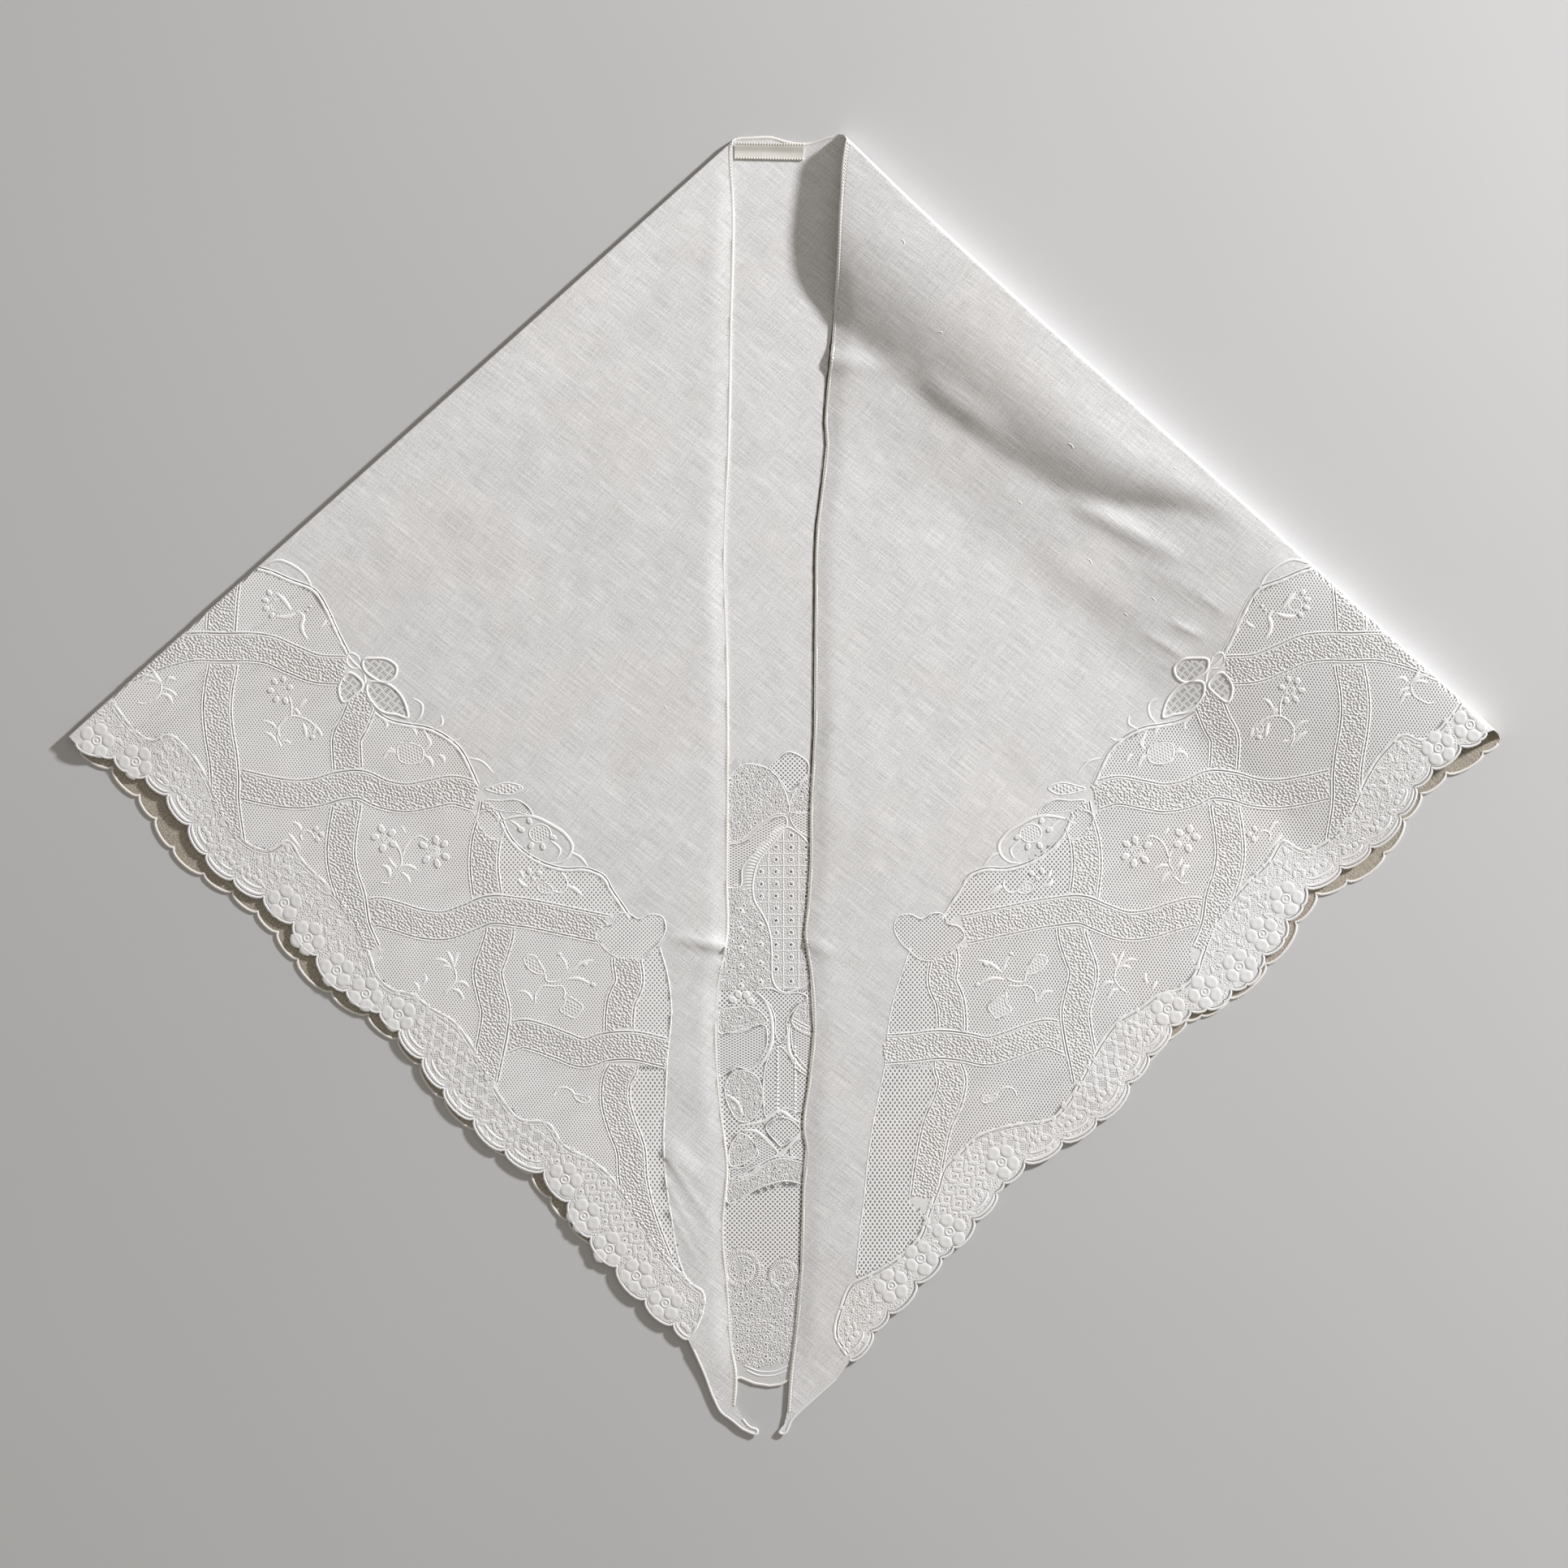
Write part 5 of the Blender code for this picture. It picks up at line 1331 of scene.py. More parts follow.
grooveShadeLines = {}
for where in ("left", "right"):
    cords, grooveShadeLines[where], faces = ribbonParts(where)
    title = where.capitalize()
    growCords("ribbonCords" + title, cords, ribbonSizes["cordFlatness"], where, "satin")
    grow("ribbonSeeds" + title, faces, seedTree, {"Shape": shapes["seed"], **seedSizes[where]}, where,
         "satin")
print("ribbons made")

# The scalloped edges, worked over with close buttonhole stitches
edgeSizes = {"cord": 0.66, "flatness": 0.5, "spacing": 0.95, "stitchReach": 0.75, "stitchWidth": 0.34,
             "stitchHeight": 0.06, "inset": 0.6, "grooveInset": 1.55, "groove": 0.22, "rise": 0.08,
             "backRise": 0.2, "tipInset": 0.5, "tipStep": 2.0}


def edgeWork(name, where, line, rise, look):
    grow(name + "Cord", lineMesh("edge", [(line, rise, edgeSizes["cord"], False)]), cordTree,
         {"Sides": 8, "Flatness": edgeSizes["flatness"], "Base": rise}, where, look)
    top = rise + edgeSizes["cord"] * edgeSizes["flatness"] * 0.8
    grow(name + "Stitches", lineMesh("edge", [(line, top, edgeSizes["stitchReach"], False)]), stitchTree, {
        "Shape": shapes["seed"], "Spacing": edgeSizes["spacing"], "Width": edgeSizes["stitchWidth"],
        "Height": edgeSizes["stitchHeight"], "Slant": math.pi / 2,
    }, where, look)


for where in ("left", "right"):
    inward = fronts[where].sign
    edge = fronts[where].edge
    worked = offsetLine(edge, inward * edgeSizes["inset"])
    edgeWork("edge" + where.capitalize(), where, worked, edgeSizes["rise"], "satin")
    beside = offsetLine(edge, inward * edgeSizes["grooveInset"])
    # a dark line inside the edge cord: painted shade of the groove, with its pulled-thread holes
    grooveShadeLines[where].append((beside, surface, edgeSizes["groove"], False))
for where, tip, side in (("right", rightTip, 1), ("left", leftTip, -1)):
    worked = offsetLine(softened(tip, edgeSizes["tipStep"]), side * edgeSizes["tipInset"])
    edgeWork("tip" + where.capitalize(), where, worked, edgeSizes["rise"], "satin")


def backLine(inset):
    return np.concatenate([offsetLine(scalloped("left back"), inset), np.array(backPoint) + (0, inset),
                           offsetLine(scalloped("right back")[::-1], inset)])


edgeWork("edgeBack", "back", backLine(edgeSizes["inset"]), edgeSizes["backRise"], "backThread")
backSizes = {"insets": (2.6, 4.3, 6.0, 7.9, 10.0), "stitch": (0.8, 0.24, 0.07), "sway": 0.7, "step": 1.7,
             "centre": -8, "bare": 26}


def backStitches():  # stitches seen from behind, between the back layer's edge and the front's, in a darker brown thread as painted shade from the front layer
    rng = np.random.default_rng(3)
    rows = []
    for inset in backSizes["insets"]:
        line = softened(backLine(inset)[::3], backSizes["step"])
        across = offsetLine(line, 1.0) - line
        stitched = np.abs(line[:, 0] - backSizes["centre"]) > backSizes["bare"]
        for (x, y), (dx, dy) in zip(line[stitched], across[stitched]):
            rows.append((x + rng.uniform(-0.5, 0.5), y + rng.uniform(-0.5, 0.5), surface,
                         math.atan2(dy, dx) + rng.uniform(-1, 1) * backSizes["sway"], *backSizes["stitch"]))
    rows = np.array(rows)
    base = pointMesh("stitches", rows[:, :3], {"turn": rows[:, 3], "size": rows[:, 4:7]})
    grow("backStitches", base, scatterTree, {"Shape": shapes["grain"]}, "back", "wornThread")


backStitches()
print("edges made")

# Flowers, shells, waffle tiles, stars and seeds in the band between the net and the edge, and the sprigs
bandSizes = {
    "petalReach": 6.0, "petal": (4.2, 3.6, 0.2), "ring": 2.1, "ringCord": 0.42, "flowerRoom": 9.0,
    "shells": ((2.5, 0.98, 0.95), (4.8, 0.74, 0.8)), "fan": ((-3.2, 7.1), (0.0, 7.7), (3.2, 7.1)),
    "fanPetal": (1.75, 1.45, 0.17), "tileSteps": ((5.8, -4.7), (-1.1, -7.0)), "tileHole": 1.1,
    "tileSpan": (-192, -112), "shellRoom": (9.5, 9.0), "fullShell": 17, "fullFan": 18,
    "pulled": (0.24, 0.5, 0.35), "starTurn": 0.35, "outline": 0.4, "basketOutline": 0.8, "ringGirth": 0.34,
    "lozenge": (2.1, 1.25, 0.12), "starPitch": 6.3, "star": (2.4, 2.4, 0.15), "starSpan": (-246, -190),
    "sprayPitch": 5.6, "pinPitch": 3.4, "grainPitch": 1.35, "grain": (0.75, 0.4, 0.13), "knotPitch": 4.3,
    "strokeShare": 0.88, "strokeFlatness": 0.18, "cordFlatness": 0.4, "grooveFlatness": 0.15,
    "tendril": 0.5,
}
bandRooms = {  # how far from the scalloped edge and from the band's inner line each filling keeps
    "tile": (4.6, 3.2), "star": (4.6, 2.9), "lozenge": (3.4, 2.2), "spray": (3.6, 2.4), "pin": (2.6, 1.8),
    "grain": (2.3, 1.5),
}
fillSizes = {"slit": (0.43, 0.3, 0.04), "pad": (0.75, 0.42, 0.11), "grain": (0.46, 0.34, 0.2),
             "bobble": (0.42, 0.4, 0.26), "slitGap": 0.3, "clear": 0.8, "slitClear": 0.9}


def circle(x, y, wide, tall, count=14):
    angles = np.linspace(0, 2 * math.pi, count, endpoint=False)
    return np.column_stack([x + wide * np.cos(angles), y + tall * np.sin(angles)])


class Scatter:  # points with a turn and a size, gathered for one kind of shape, and the room they take
    def __init__(self):
        self.rows, self.taken = {}, [(0.0, 999.0, 0.0)]

    def add(self, shape, x, y, turn, size, room=0.0, height=0.17):
        self.rows.setdefault(shape, []).append((x, y, height, turn, *size))
        if room:
            self.taken.append((x, y, room))

    def free(self, places):
        gaps = np.full(len(places), np.inf)
        for x, y, room in self.taken:
            gaps = np.minimum(gaps, np.hypot(places[:, 0] - x, places[:, 1] - y) - room)
        return gaps > 0

    def grow(self, prefix, where):
        # dots and specks are painted shade in holes, and slits painted shade in slits
        looksOf = {"dot": "hole", "speck": "hole", "slit": "groove", "petal": "padding"}
        for shape, rows in self.rows.items():
            rows = np.array(rows, float)
            base = pointMesh(shape, rows[:, :3], {"turn": rows[:, 3], "size": rows[:, 4:7]})
            grow(prefix + shape.capitalize() + "s", base, scatterTree, {"Shape": shapes[shape]}, where,
                 looksOf.get(shape, "satin"))


def flowerAt(scatter, rings, x, y, turn):
    for petal in range(5):
        angle = turn + 2 * math.pi * petal / 5
        scatter.add("petal", x + bandSizes["petalReach"] * math.cos(angle),
                    y + bandSizes["petalReach"] * math.sin(angle), angle + math.pi / 2, bandSizes["petal"])
    rings.append((circle(x, y, bandSizes["ring"], bandSizes["ring"]), surface, bandSizes["ringCord"], True))
    scatter.add("bobble", x, y, 0, (0.8, 0.8, 0.12), bandSizes["flowerRoom"])


def basketSlits(scatter, outline, pitch):  # blocks of three slits, turned one way and the other
    centre = outline.mean(axis=0)
    c = math.sqrt(0.5)
    (long, wide, tall), clear = fillSizes["slit"], fillSizes["slitClear"]
    for i in range(-6, 7):
        for j in range(-6, 7):
            turn = math.pi / 4 if (i + j) % 2 else -math.pi / 4
            for step in (-1, 0, 1):
                shift = pitch * fillSizes["slitGap"] * step
                x = centre[0] + (i - j) * pitch * c - shift * math.sin(turn)
                y = centre[1] + (i + j) * pitch * c + shift * math.cos(turn)
                place = np.array([[x, y]])
                if within(place, outline)[0] and gapTo(place, outline, closed=True)[0] > clear:
                    scatter.add("slit", x, y, turn, (pitch * long, wide, tall))


def fillShape(scatter, kind, pitch, outline, slant):
    if kind == "basket":
        basketSlits(scatter, outline, pitch)
    if kind == "pad":
        places = gridPlaces(outline, pitch, 0.6, stagger=True)
        for i, (x, y) in enumerate(places):
            scatter.add("grain", x + 0.2 * math.sin(5.0 * i), y + 0.2 * math.cos(3.7 * i),
                        slant + 0.3 * math.sin(2.3 * i), fillSizes["pad"])
    if kind in ("grain", "bobble"):
        places = gridPlaces(outline, pitch, 0.6, stagger=True)
        long, wide, tall = fillSizes[kind]
        for x, y in places[gapTo(places, outline, closed=True) > fillSizes["clear"]]:
            scatter.add(kind, x, y, slant, (pitch * long, pitch * wide, tall))


def shellsAlong(front, cusps, flowers, scatter, strokes):  # satin crescents and a petal fan in each scallop
    depth = scallopDepths["front"]
    shortest, nearest = bandSizes["shellRoom"]
    for start, end in zip(cusps[:-1], cusps[1:]):
        length = np.linalg.norm(end - start)
        along = (end - start) / length
        outward = np.array([along[1], -along[0]])
        outward *= np.sign(outward @ np.array([start[0], clothShape["backEnd"] / mm]))
        centre = (start + end) / 2
        inBand = within((centre - outward * 3)[None], front.band)[0]
        toFlower = np.linalg.norm(flowers - (centre - outward * 5), axis=1).min()
        if length < shortest or not inBand or toFlower < nearest:
            continue
        for gap, share, girth in bandSizes["shells"]:
            line = [centre - along * math.cos(a) / 2 * share * length
                    + outward * (depth * length * math.sin(a) * share - gap)
                    for a in np.linspace(0.1, 0.9, 7) * math.pi]
            line, girths = tapered(line, girth * min(length / bandSizes["fullShell"], 1.1))
            strokes.append((line, surface, girths, False))
            scatter.taken += [(x, y, 1.4) for x, y in line[::3]]
        for side, gap in bandSizes["fan"]:
            scale = min(length / bandSizes["fullFan"], 1.1)
            x, y = centre + along * side * scale + outward * (depth * length * 0.4 - gap * scale)
            if within(np.array([[x, y]]), front.band)[0]:
                scatter.add("petal", x, y, math.atan2(along[1], along[0]) + 0.12 * side,
                            bandSizes["fanPetal"], 1.9)


def bandWork(where):
    front = fronts[where]
    rng = np.random.default_rng(11)
    scatter, cords, strokes = Scatter(), [], []
    girth, step, bend = bandSizes["pulled"]
    for x, y, length, degrees in pullRows[where]:
        turn = math.radians(degrees)
        run = length / 2 * np.array([math.cos(turn), math.sin(turn)])
        bow = np.array([-run[1], run[0]]) * bend
        line, girths = tapered([(x, y) - run, (x, y) + bow, (x, y) + run], girth, step)
        cords.append((line, surface + 0.08, girths, False))

    def roomy(places, filling, span=(-400, 400)):
        fromEdge, fromLine = bandRooms[filling]
        clear = (gapTo(places, front.edge) > fromEdge) & (gapTo(places, front.bandLine) > fromLine)
        return places[clear & scatter.free(places) & (places[:, 1] > span[0]) & (places[:, 1] < span[1])]

    flowers = np.array(flowerPlaces[where], float)
    for i, (x, y) in enumerate(flowers):
        flowerAt(scatter, cords, x, y, 0.7 * i)
    shellsAlong(front, np.array(scallopCusps[where + " front"]), flowers, scatter, strokes)
    steps = flipped(bandSizes["tileSteps"], where)
    counts = np.array([(i, j) for i in range(-30, 31) for j in range(-30, 31)])
    lattice = counts @ steps + flipped([(-150, -150)], where)
    tiles = roomy(lattice[within(lattice, front.band)], "tile", bandSizes["tileSpan"])
    for x, y in tiles:
        for i in (-1, 0, 1):
            for j in (-1, 0, 1):
                scatter.add("speck", x + i * bandSizes["tileHole"], y + j * bandSizes["tileHole"], 0,
                            (0.3, 0.3, 0.03))
        scatter.taken.append((x, y, 2.3))
    starTurn = bandSizes["starTurn"] * front.sign
    stars = gridPlaces(front.band, bandSizes["starPitch"], starTurn)
    stars = roomy(stars, "star", bandSizes["starSpan"])
    for x, y in stars:
        scatter.add("star", x, y, starTurn, bandSizes["star"], 2.3)
        scatter.add("speck", x, y, 0, (0.42, 0.42, 0.2))
    half = bandSizes["starPitch"] / 2
    ways = (steps[0], steps[1], steps[0] - steps[1])
    beside = [(tiles, step * share) for step in ways for share in (0.5, -0.5)]
    beside += [(stars, np.array(step)) for step in ((half, 0), (0, half), (-half, 0), (0, -half))]
    for places, step in beside:
        for x, y in roomy(places + step, "lozenge"):
            if scatter.free(np.array([[x, y]]))[0] and within(np.array([[x, y]]), front.band)[0]:
                across = math.atan2(step[1], step[0]) + math.pi / 2
                scatter.add("petal", x, y, across, bandSizes["lozenge"], 1.5)
    for i, (x, y) in enumerate(softened(front.bandLine, bandSizes["knotPitch"])):
        shift = rng.uniform(-1.3, 1.3, 2)
        wide = rng.uniform(1.2, 2.3)
        if within((shift + (x, y))[None], front.band)[0]:
            scatter.add("petal", x + shift[0], y + shift[1], rng.uniform(0, 3), (wide, wide * 0.7, 0.16), 0.8)
    sprays = gridPlaces(front.band, bandSizes["sprayPitch"], 0.5, stagger=True)
    for x, y in roomy(sprays + rng.uniform(-1.6, 1.6, sprays.shape), "spray"):
        if scatter.free(np.array([[x, y]]))[0]:
            turn = rng.uniform(0, 2 * math.pi)
            for lean in (0, 1.0, -1.0)[:rng.integers(1, 4)]:
                reach = 1.9 if lean else 0.3
                scatter.add("petal", x + reach * math.cos(turn + lean), y + reach * math.sin(turn + lean),
                            turn + lean * 0.6, (rng.uniform(1.5, 2.4), rng.uniform(0.75, 1.1), 0.15), 1.5)
    pins = gridPlaces(front.band, bandSizes["pinPitch"], 0.3)
    for x, y in roomy(pins + rng.uniform(-1, 1, pins.shape), "pin"):
        scatter.add("speck", x, y, 0, (0.3, 0.3, 0.04), 0.5)
    grains = gridPlaces(front.band, bandSizes["grainPitch"], 0.5, stagger=True)
    grains = grains + rng.uniform(-0.4, 0.4, grains.shape)
    for x, y in roomy(grains, "grain"):
        long, wide, tall = bandSizes["grain"]
        scatter.add("grain", x, y, rng.uniform(-1.5, 0.4) * front.sign,
                    (long * rng.uniform(0.7, 1.3), wide, tall))
    for kind, pitch, outline in front.leaves:
        fillShape(scatter, kind, pitch, outline, -0.75 * front.sign)
    for wide, points in strokeRows:
        line, girths = tapered(flipped(points, where), wide * bandSizes["strokeShare"])
        if wide < 0.6:
            cords.append((line, surface, bandSizes["tendril"], False))
        else:
            strokes.append((line, surface, girths, False))
    for x, y, wide, tall in ringRows:
        cords.append((flipped(circle(x, y, wide, tall), where), surface, bandSizes["ringGirth"], True))
    for x, y, wide, tall, turn in blobRows:
        facing = turn if where == "left" else math.pi - turn
        scatter.add("petal", x * front.sign, y, facing, (wide, tall, 0.3))
    for name, line in front.inner.items():
        strokes.append((line, surface, uneven(line, 0.5 if name == "margin" else 0.8, 0.4), False))
        if name != "margin":
            cords.append((offsetLine(line, front.sign * 1.7), surface, 0.36, False))
            grooveShadeLines[where].append((offsetLine(line, front.sign * 1.2), surface, 0.2, False))
    strokes.append((front.bandLine, surface, uneven(front.bandLine, 0.75, 0.4), False))
    cords.append((offsetLine(front.bandLine, front.sign * -1.75), surface, 0.36, False))
    grooveShadeLines[where].append((offsetLine(front.bandLine, front.sign * -1.25), surface, 0.2, False))
    for kind, _, outline in front.leaves:
        if kind != "pad":
            girth = bandSizes["basketOutline" if kind == "basket" else "outline"]
            cords.append((outline, surface, girth, True))
    title = where.capitalize()
    scatter.grow("band" + title, where)
    growCords("outlines" + title, cords, bandSizes["cordFlatness"], where, "satin")
    growCords("satinStrokes" + title, strokes, bandSizes["strokeFlatness"], where, "satin")
    # dark lines beside the band's cords: painted groove shade, with pulled-thread holes
    growCords("grooves" + title, grooveShadeLines[where], bandSizes["grooveFlatness"], where, "groove", 4)


for where in ("left", "right"):
    bandWork(where)
print("bands made")

# The hem
hemSizes = {"half": 0.95, "flatness": 0.32, "inset": 0.95, "stitchInset": 2.1, "stitch": 1.5,
            "shadeOut": 0.4, "shade": 0.55, "whip": 1.7, "whipReach": 0.95, "shadeSpan": (-262, 246),
            "stitchReach": 0.42, "whipHeight": 0.24, "step": 2.5, "rollStep": 3.2, "shadeFlatness": 0.1}
hemLine = softened(hemPath / mm, hemSizes["rollStep"])
grow("hemRoll", lineMesh("hem", [(offsetLine(hemLine, -hemSizes["inset"]), 0.0, hemSizes["half"], False)]),
     cordTree, {"Sides": 10, "Flatness": hemSizes["flatness"], "Base": 0.0}, "back", "hemCloth")
stitchInputs = {"Shape": shapes["slit"], "Spacing": hemSizes["stitch"], "Width": 0.17, "Height": 0.04,
                "Slant": 0.6}
whipInputs = {"Shape": shapes["seed"], "Spacing": hemSizes["whip"], "Width": 0.42, "Height": 0.1,
              "Slant": 0.75}
for where, line in (("left", leftHem), ("right", rightHem)):
    line = softened(line, hemSizes["step"])
    inside = offsetLine(line, -hemSizes["stitchInset"] * fronts[where].sign)
    stitches = lineMesh("hem", [(inside, surface, hemSizes["stitchReach"], False)])
    # the hem's slit stitches are dark as painted shade in their dents
    grow("hemStitches" + where.capitalize(), stitches, stitchTree, stitchInputs, where, "groove")
    on = offsetLine(line, -hemSizes["inset"] * fronts[where].sign)
    whips = lineMesh("hem", [(on, hemSizes["whipHeight"], hemSizes["whipReach"], False)])
    grow("hemWhips" + where.capitalize(), whips, stitchTree, whipInputs, where, "hemCloth")
under = softened(rightHem, hemSizes["step"]) - (hemSizes["shadeOut"], 0)
under = under[(under[:, 1] > hemSizes["shadeSpan"][0]) & (under[:, 1] < hemSizes["shadeSpan"][1])]
girths = uneven(under, hemSizes["shade"], 0.5) * np.minimum(1, 0.1 + np.minimum(
    np.arange(len(under)), np.arange(len(under))[::-1]) / 8)
growCords("hemShade", [(under, surface, girths, False)], hemSizes["shadeFlatness"], "back", "shade")
print("hem made")

# The strip of the back layer between the fronts, wrong side up
stripSizes = {
    "eyeletColumns": (-12.7, -4.9, 2.9, 10.7), "eyeletTop": -26.2, "eyeletEnd": -106, "eyeletStep": 6.3,
    "eyelet": 1.25, "hole": 0.74, "frame": 0.3, "ray": 5.0, "rayStep": 1.5, "starStep": 9.8,
    "knotPitch": 3.2, "starKnotPitch": 3.3, "seedPitch": 1.45, "leafPitch": 1.5, "arc": 1.1,
    "bursts": [(-22.5, -250.6, 10.6), (-0.9, -253.7, 8.4)],
}
satinArcs = [
    [(-17.6, -106.3), (-11.6, -110.5), (-8.2, -117.2), (-6.8, -125.5), (-7.4, -134.5), (-10.8, -142),
        (-16, -149.5)],
    [(2.3, -123.2), (1.4, -131.5), (2.3, -139), (7.2, -145.7), (11.7, -149.5)],
    [(-31, -160), (-25, -164.5), (-22, -171.2)],
    [(-23.6, -176.5), (-11.6, -174.2), (-2.6, -169), (3.5, -172.7), (9.5, -175.7)],
    [(-22.8, -178.7), (-15.3, -179.5), (-7.8, -186.2), (-2.6, -191.5)],
    [(-2.6, -191.5), (2.7, -186.2), (9.5, -179.5)],
]
stripCords = [
    [(2.7, -121.7), (7.5, -124.6), (12.5, -127)], [(3.6, -120.4), (8.2, -123.2), (13, -125.6)],
    [(-28, -205), (-17.5, -200.5), (-10, -194.5), (-2.6, -192.2), (9.5, -194.5)],
    [(-28, -206.6), (-17, -202.1), (-9.6, -196), (-2.6, -193.8), (9.5, -196)],
    [(-21, -300.6), (-14, -303.4), (-6, -303.6), (2, -300.4)],
    [(-20, -303), (-14, -305.6), (-6, -305.6), (1, -303.2)],
]


def knotsIn(scatter, outline, pitch):  # rings of thread round pin-holes, with loose short stitches between
    rng = np.random.default_rng(5)
    knots = gridPlaces(outline, pitch, 0.5, stagger=True)
    for x, y in knots + rng.uniform(-0.7, 0.7, knots.shape):
        size = rng.uniform(0.8, 1.5)
        if rng.random() < 0.7:
            scatter.add("ring", x, y, rng.uniform(0, 1), (size, size * 0.85, 0.14))
        scatter.add("speck", x, y, 0, (0.36 * size, 0.36 * size, 0.04))
    seeds = gridPlaces(outline, stripSizes["seedPitch"], 0.2, stagger=True)
    for x, y in seeds + rng.uniform(-0.5, 0.5, seeds.shape):
        scatter.add("seed", x, y, rng.uniform(0, 3.1), (0.95, 0.3, rng.uniform(0.12, 0.22)))


def stripWork():
    scatter, cords, strokes = Scatter(), [], []
    for kind, pitch, outline in strip:
        if kind in ("bobble", "knots"):
            knotsIn(scatter, outline, stripSizes["knotPitch"])
        if kind != "knots" and pitch != 1.75:
            cords.append((outline, surface, 0.42, True))
    for x, y, radius in stripSizes["bursts"]:
        cords.append((circle(x, y, radius * 0.62, radius * 0.62, 20), surface, 0.34, True))
        ray = radius * 0.84
        for angle in np.arange(-1.3, 4.4, 1.15 / radius):
            scatter.add("seed", x + ray * math.cos(angle), y + ray * math.sin(angle), angle, (1.9, 0.4, 0.26))
    knotsIn(scatter, starField, stripSizes["starKnotPitch"])
    fillShape(scatter, "pad", stripSizes["leafPitch"], leafOutline, 0.8)
    cords.append((leafOutline, surface, 0.5, True))
    downs = np.arange(stripSizes["eyeletTop"], stripSizes["eyeletEnd"], -stripSizes["eyeletStep"])
    eyelets = np.array([(x, y) for x in stripSizes["eyeletColumns"] for y in downs])
    eyelets = eyelets[within(eyelets, leafOutline) & (gapTo(eyelets, leafOutline, closed=True) > 1.6)]
    for x, y in eyelets:
        cords.append((circle(x, y, stripSizes["eyelet"], stripSizes["eyelet"], 10), surface, 0.36, True))
        # each eyelet's hole is a dark disc of painted shade
        scatter.add("dot", x, y, 0, (stripSizes["hole"], stripSizes["hole"], 0.05))
    frames = [[(x - 3.9, y) for y in np.arange(-20, -108, -1.6)] for x in stripSizes["eyeletColumns"]]
    frames += [[(x, y - stripSizes["eyeletStep"] / 2) for x in np.arange(-18, 15, 1.5)] for y in downs]
    for frame in frames:
        frame = np.array(frame)
        for run in keptRuns(frame, within(frame, leafOutline)):
            cords.append((run, surface, stripSizes["frame"], False))
    border = softened(eyeletLeaf[:8], stripSizes["rayStep"])
    outer = offsetLine(border, -1.0)
    for i, (start, end) in enumerate(zip(border, outer)):
        reach = stripSizes["ray"] * min(1.0, 1.8 * (1 - i / len(border)) + 0.3)
        tip = start + (end - start) * reach
        line, girths = tapered([start, (start + tip) / 2 + (0, -0.3), tip + (0, -0.8)], 0.55)
        strokes.append((line, surface, girths, False))
    step = stripSizes["starStep"]
    field = [(-23.2, -65 - step * k) for k in range(5)] + [(-13, -72.8 - step * k) for k in range(4)]
    field = np.array(field)
    for x, y in field[within(field, starField)]:
        scatter.add("star", x, y, 0.2, (2.7, 2.7, 0.28))
        scatter.add("speck", x, y, 0, (0.5, 0.5, 0.2))
        for side in (-1, 1):
            link = np.array([(x + reach * side, y - reach) for reach in (2.6, 6.4)])
            cords.append((link, surface, 0.3, False))
    for petal in range(4):
        angle = math.radians(10 + 50 * petal)
        scatter.add("petal", -22.8 + 4.8 * math.cos(angle), -113 + 4.8 * math.sin(angle), angle,
                    (2.6, 2.1, 0.3))
    for x in (-4.1, 5.0):
        for y in np.arange(-136, -170, -2.1):
            scatter.add("bobble", x, y, 0, (0.9, 0.8, 0.26))
    for arc in satinArcs:
        line, girths = tapered(arc, stripSizes["arc"])
        strokes.append((line, surface, girths, False))
    cords += [(softened(line, 1.6), surface, 0.4, False) for line in stripCords]
    scatter.grow("strip", "back")
    growCords("stripOutlines", cords, bandSizes["cordFlatness"], "back", "satin")
    growCords("stripStrokes", strokes, bandSizes["strokeFlatness"], "back", "satin")


stripWork()
print("strip made")

# The label tape, bare, sewn under the neck edge
tapeSizes = {"centre": (-8.4, 327.8), "turn": -1.2, "long": 35.6, "wide": 8.4, "thick": 0.5,
             "whips": {"Spacing": 1.35, "Width": 0.45, "Height": 0.18, "Slant": 1.2}}
tapeTurn = math.radians(tapeSizes["turn"])


def makeTape():
    across, up = 40, 10
    c, s = math.cos(tapeTurn), math.sin(tapeTurn)
    vertices, faces = [], []
    for j in range(up + 1):
        for i in range(across + 1):
            x = (i / across - 0.5) * tapeSizes["long"]
            y = (j / up - 0.5) * tapeSizes["wide"]
            place = (tapeSizes["centre"][0] + x * c - y * s, tapeSizes["centre"][1] + x * s + y * c)
            vertices.append((*place, 0.6 + 0.75 * smoothStep((y + 1) / 4.5)))
    for j in range(up):
        for i in range(across):
            a = j * (across + 1) + i
            faces.append((a, a + 1, a + across + 2, a + across + 1))
    mesh = newMesh("labelTape", settle(np.array(vertices, float), "back"), faces=faces)
    mesh.materials.append(materials["cottonTape"])
    mesh.shade_smooth()
    tape = newObject("labelTape", mesh)
    solid = tape.modifiers.new("thickness", "SOLIDIFY")
    solid.thickness, solid.offset = tapeSizes["thick"] * mm, 0.0
    tape.data = bpy.data.meshes.new_from_object(tape.evaluated_get(bpy.context.evaluated_depsgraph_get()))
    tape.modifiers.remove(solid)
    tape.data.set_sharp_from_angle(angle=0.9)
    return finishPiece(tape, "tape")


def tapeWhips():  # stitches that hold the tape's two long edges
    lines = []
    c, s = math.cos(tapeTurn), math.sin(tapeTurn)
    for y, height in ((-0.44, 0.86), (0.44, 1.6)):
        x = np.linspace(-0.49, 0.49, 20) * tapeSizes["long"]
        y = y * tapeSizes["wide"]
        line = np.column_stack([x * c - y * s, x * s + y * c])
        lines.append((line + tapeSizes["centre"], height, 0.8, False))
    grow("tapeWhips", lineMesh("whips", lines), stitchTree,
         {"Shape": shapes["seed"], **tapeSizes["whips"]}, "back", "hemCloth")


labelTape = makeTape()
tapeWhips()

for shape in shapes.values():
    bpy.data.objects.remove(shape)
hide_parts("cloth")
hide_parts("label_tape")

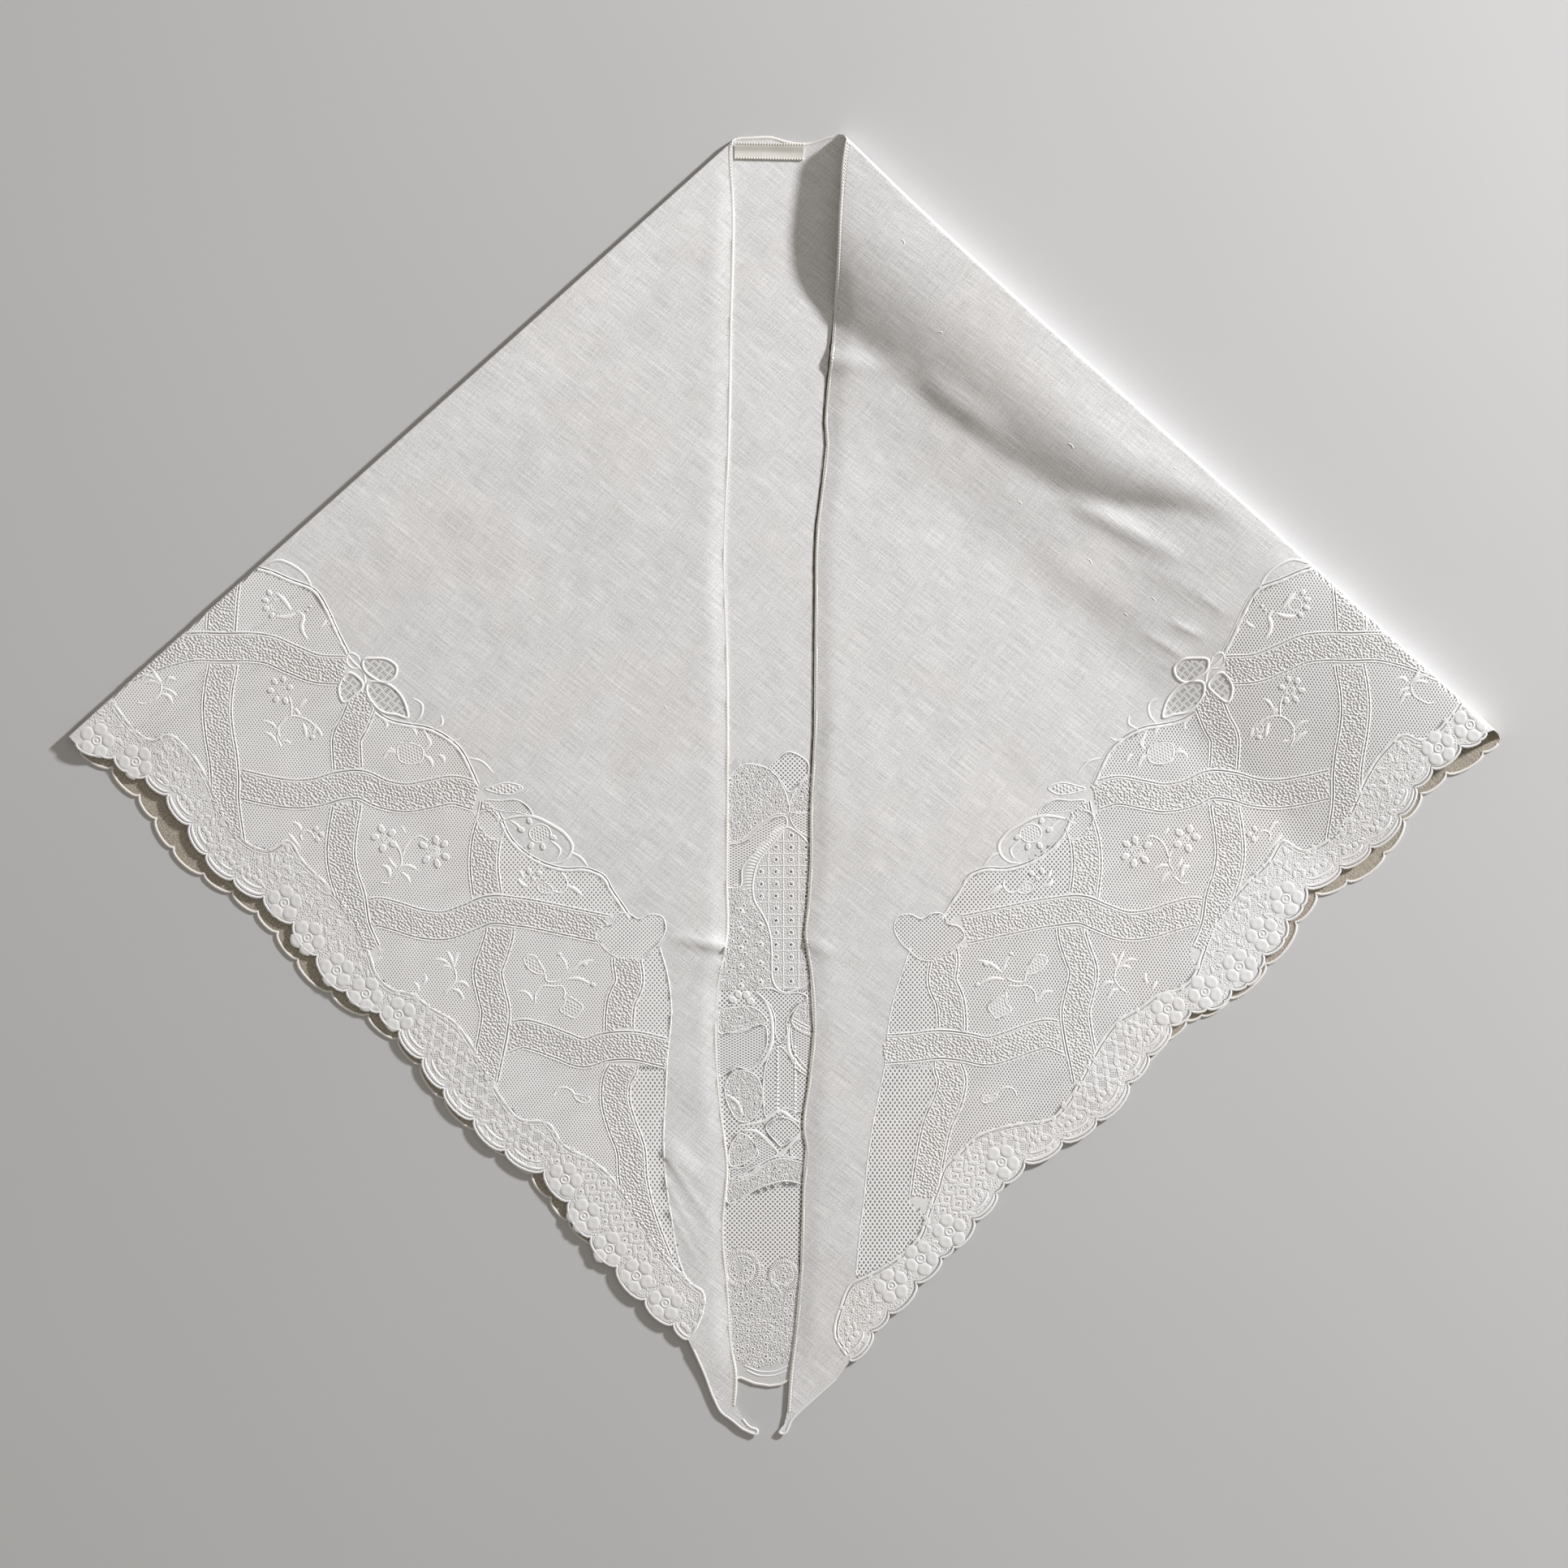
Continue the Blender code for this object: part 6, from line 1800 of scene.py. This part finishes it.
# Floor, light and camera
lightSizes = {"azimuth": 34, "height": 16.5, "distance": 3.2, "size": 0.24, "watts": 190, "fill": 0.31,
              "colour": (1.0, 1.0, 1.03), "fillColour": (1.07, 1.0, 0.93)}
cameraSizes = {"lens": 105, "place": (-0.00063, 0.00042, 2.367)}


def makeStage():
    side = 15.0
    corners = [(-side, -side, 0), (side, -side, 0), (side, side, 0), (-side, side, 0)]
    floor = newObject("floor", newMesh("floor", corners, faces=[(0, 1, 2, 3)]))
    material = bpy.data.materials.new("paleFloor")
    material.use_nodes = True
    tree = material.node_tree
    shader = tree.nodes["Principled BSDF"]
    shader.inputs["Roughness"].default_value = 0.95
    place = node(tree, "ShaderNodeTexCoord").outputs["Object"]
    noise = node(tree, "ShaderNodeTexNoise", {"Vector": place, "Scale": 3.0, "Detail": 3.0})
    colour = node(tree, "ShaderNodeMix", {
        0: noise.outputs["Fac"], 6: (0.54, 0.54, 0.535, 1), 7: (0.58, 0.58, 0.575, 1)}, data_type="RGBA")
    tree.links.new(colour.outputs[2], shader.inputs["Base Color"])
    floor.data.materials.append(material)
    azimuth, height = math.radians(lightSizes["azimuth"]), math.radians(lightSizes["height"])
    direction = Vector((math.cos(azimuth) * math.cos(height), math.sin(azimuth) * math.cos(height),
                        math.sin(height)))
    lamp = bpy.data.lights.new("windowLight", "AREA")
    lamp.shape, lamp.size, lamp.energy = "DISK", lightSizes["size"], lightSizes["watts"]
    lamp.color = lightSizes["colour"]
    light = newObject("windowLight", lamp)
    light.location = direction * lightSizes["distance"]
    light.rotation_euler = (-direction).to_track_quat("-Z", "Y").to_euler()
    world = bpy.data.worlds.new("studio")
    world.use_nodes = True
    world.node_tree.nodes["Background"].inputs["Strength"].default_value = lightSizes["fill"]
    world.node_tree.nodes["Background"].inputs["Color"].default_value = (*lightSizes["fillColour"], 1)
    bpy.context.scene.world = world
    lens = bpy.data.cameras.new("camera")
    lens.lens, lens.sensor_width = cameraSizes["lens"], 36
    camera = newObject("camera", lens)
    camera.location = cameraSizes["place"]
    bpy.context.scene.camera = camera
    bpy.context.scene.view_settings.view_transform = "Standard"


makeStage()
print("stage made")
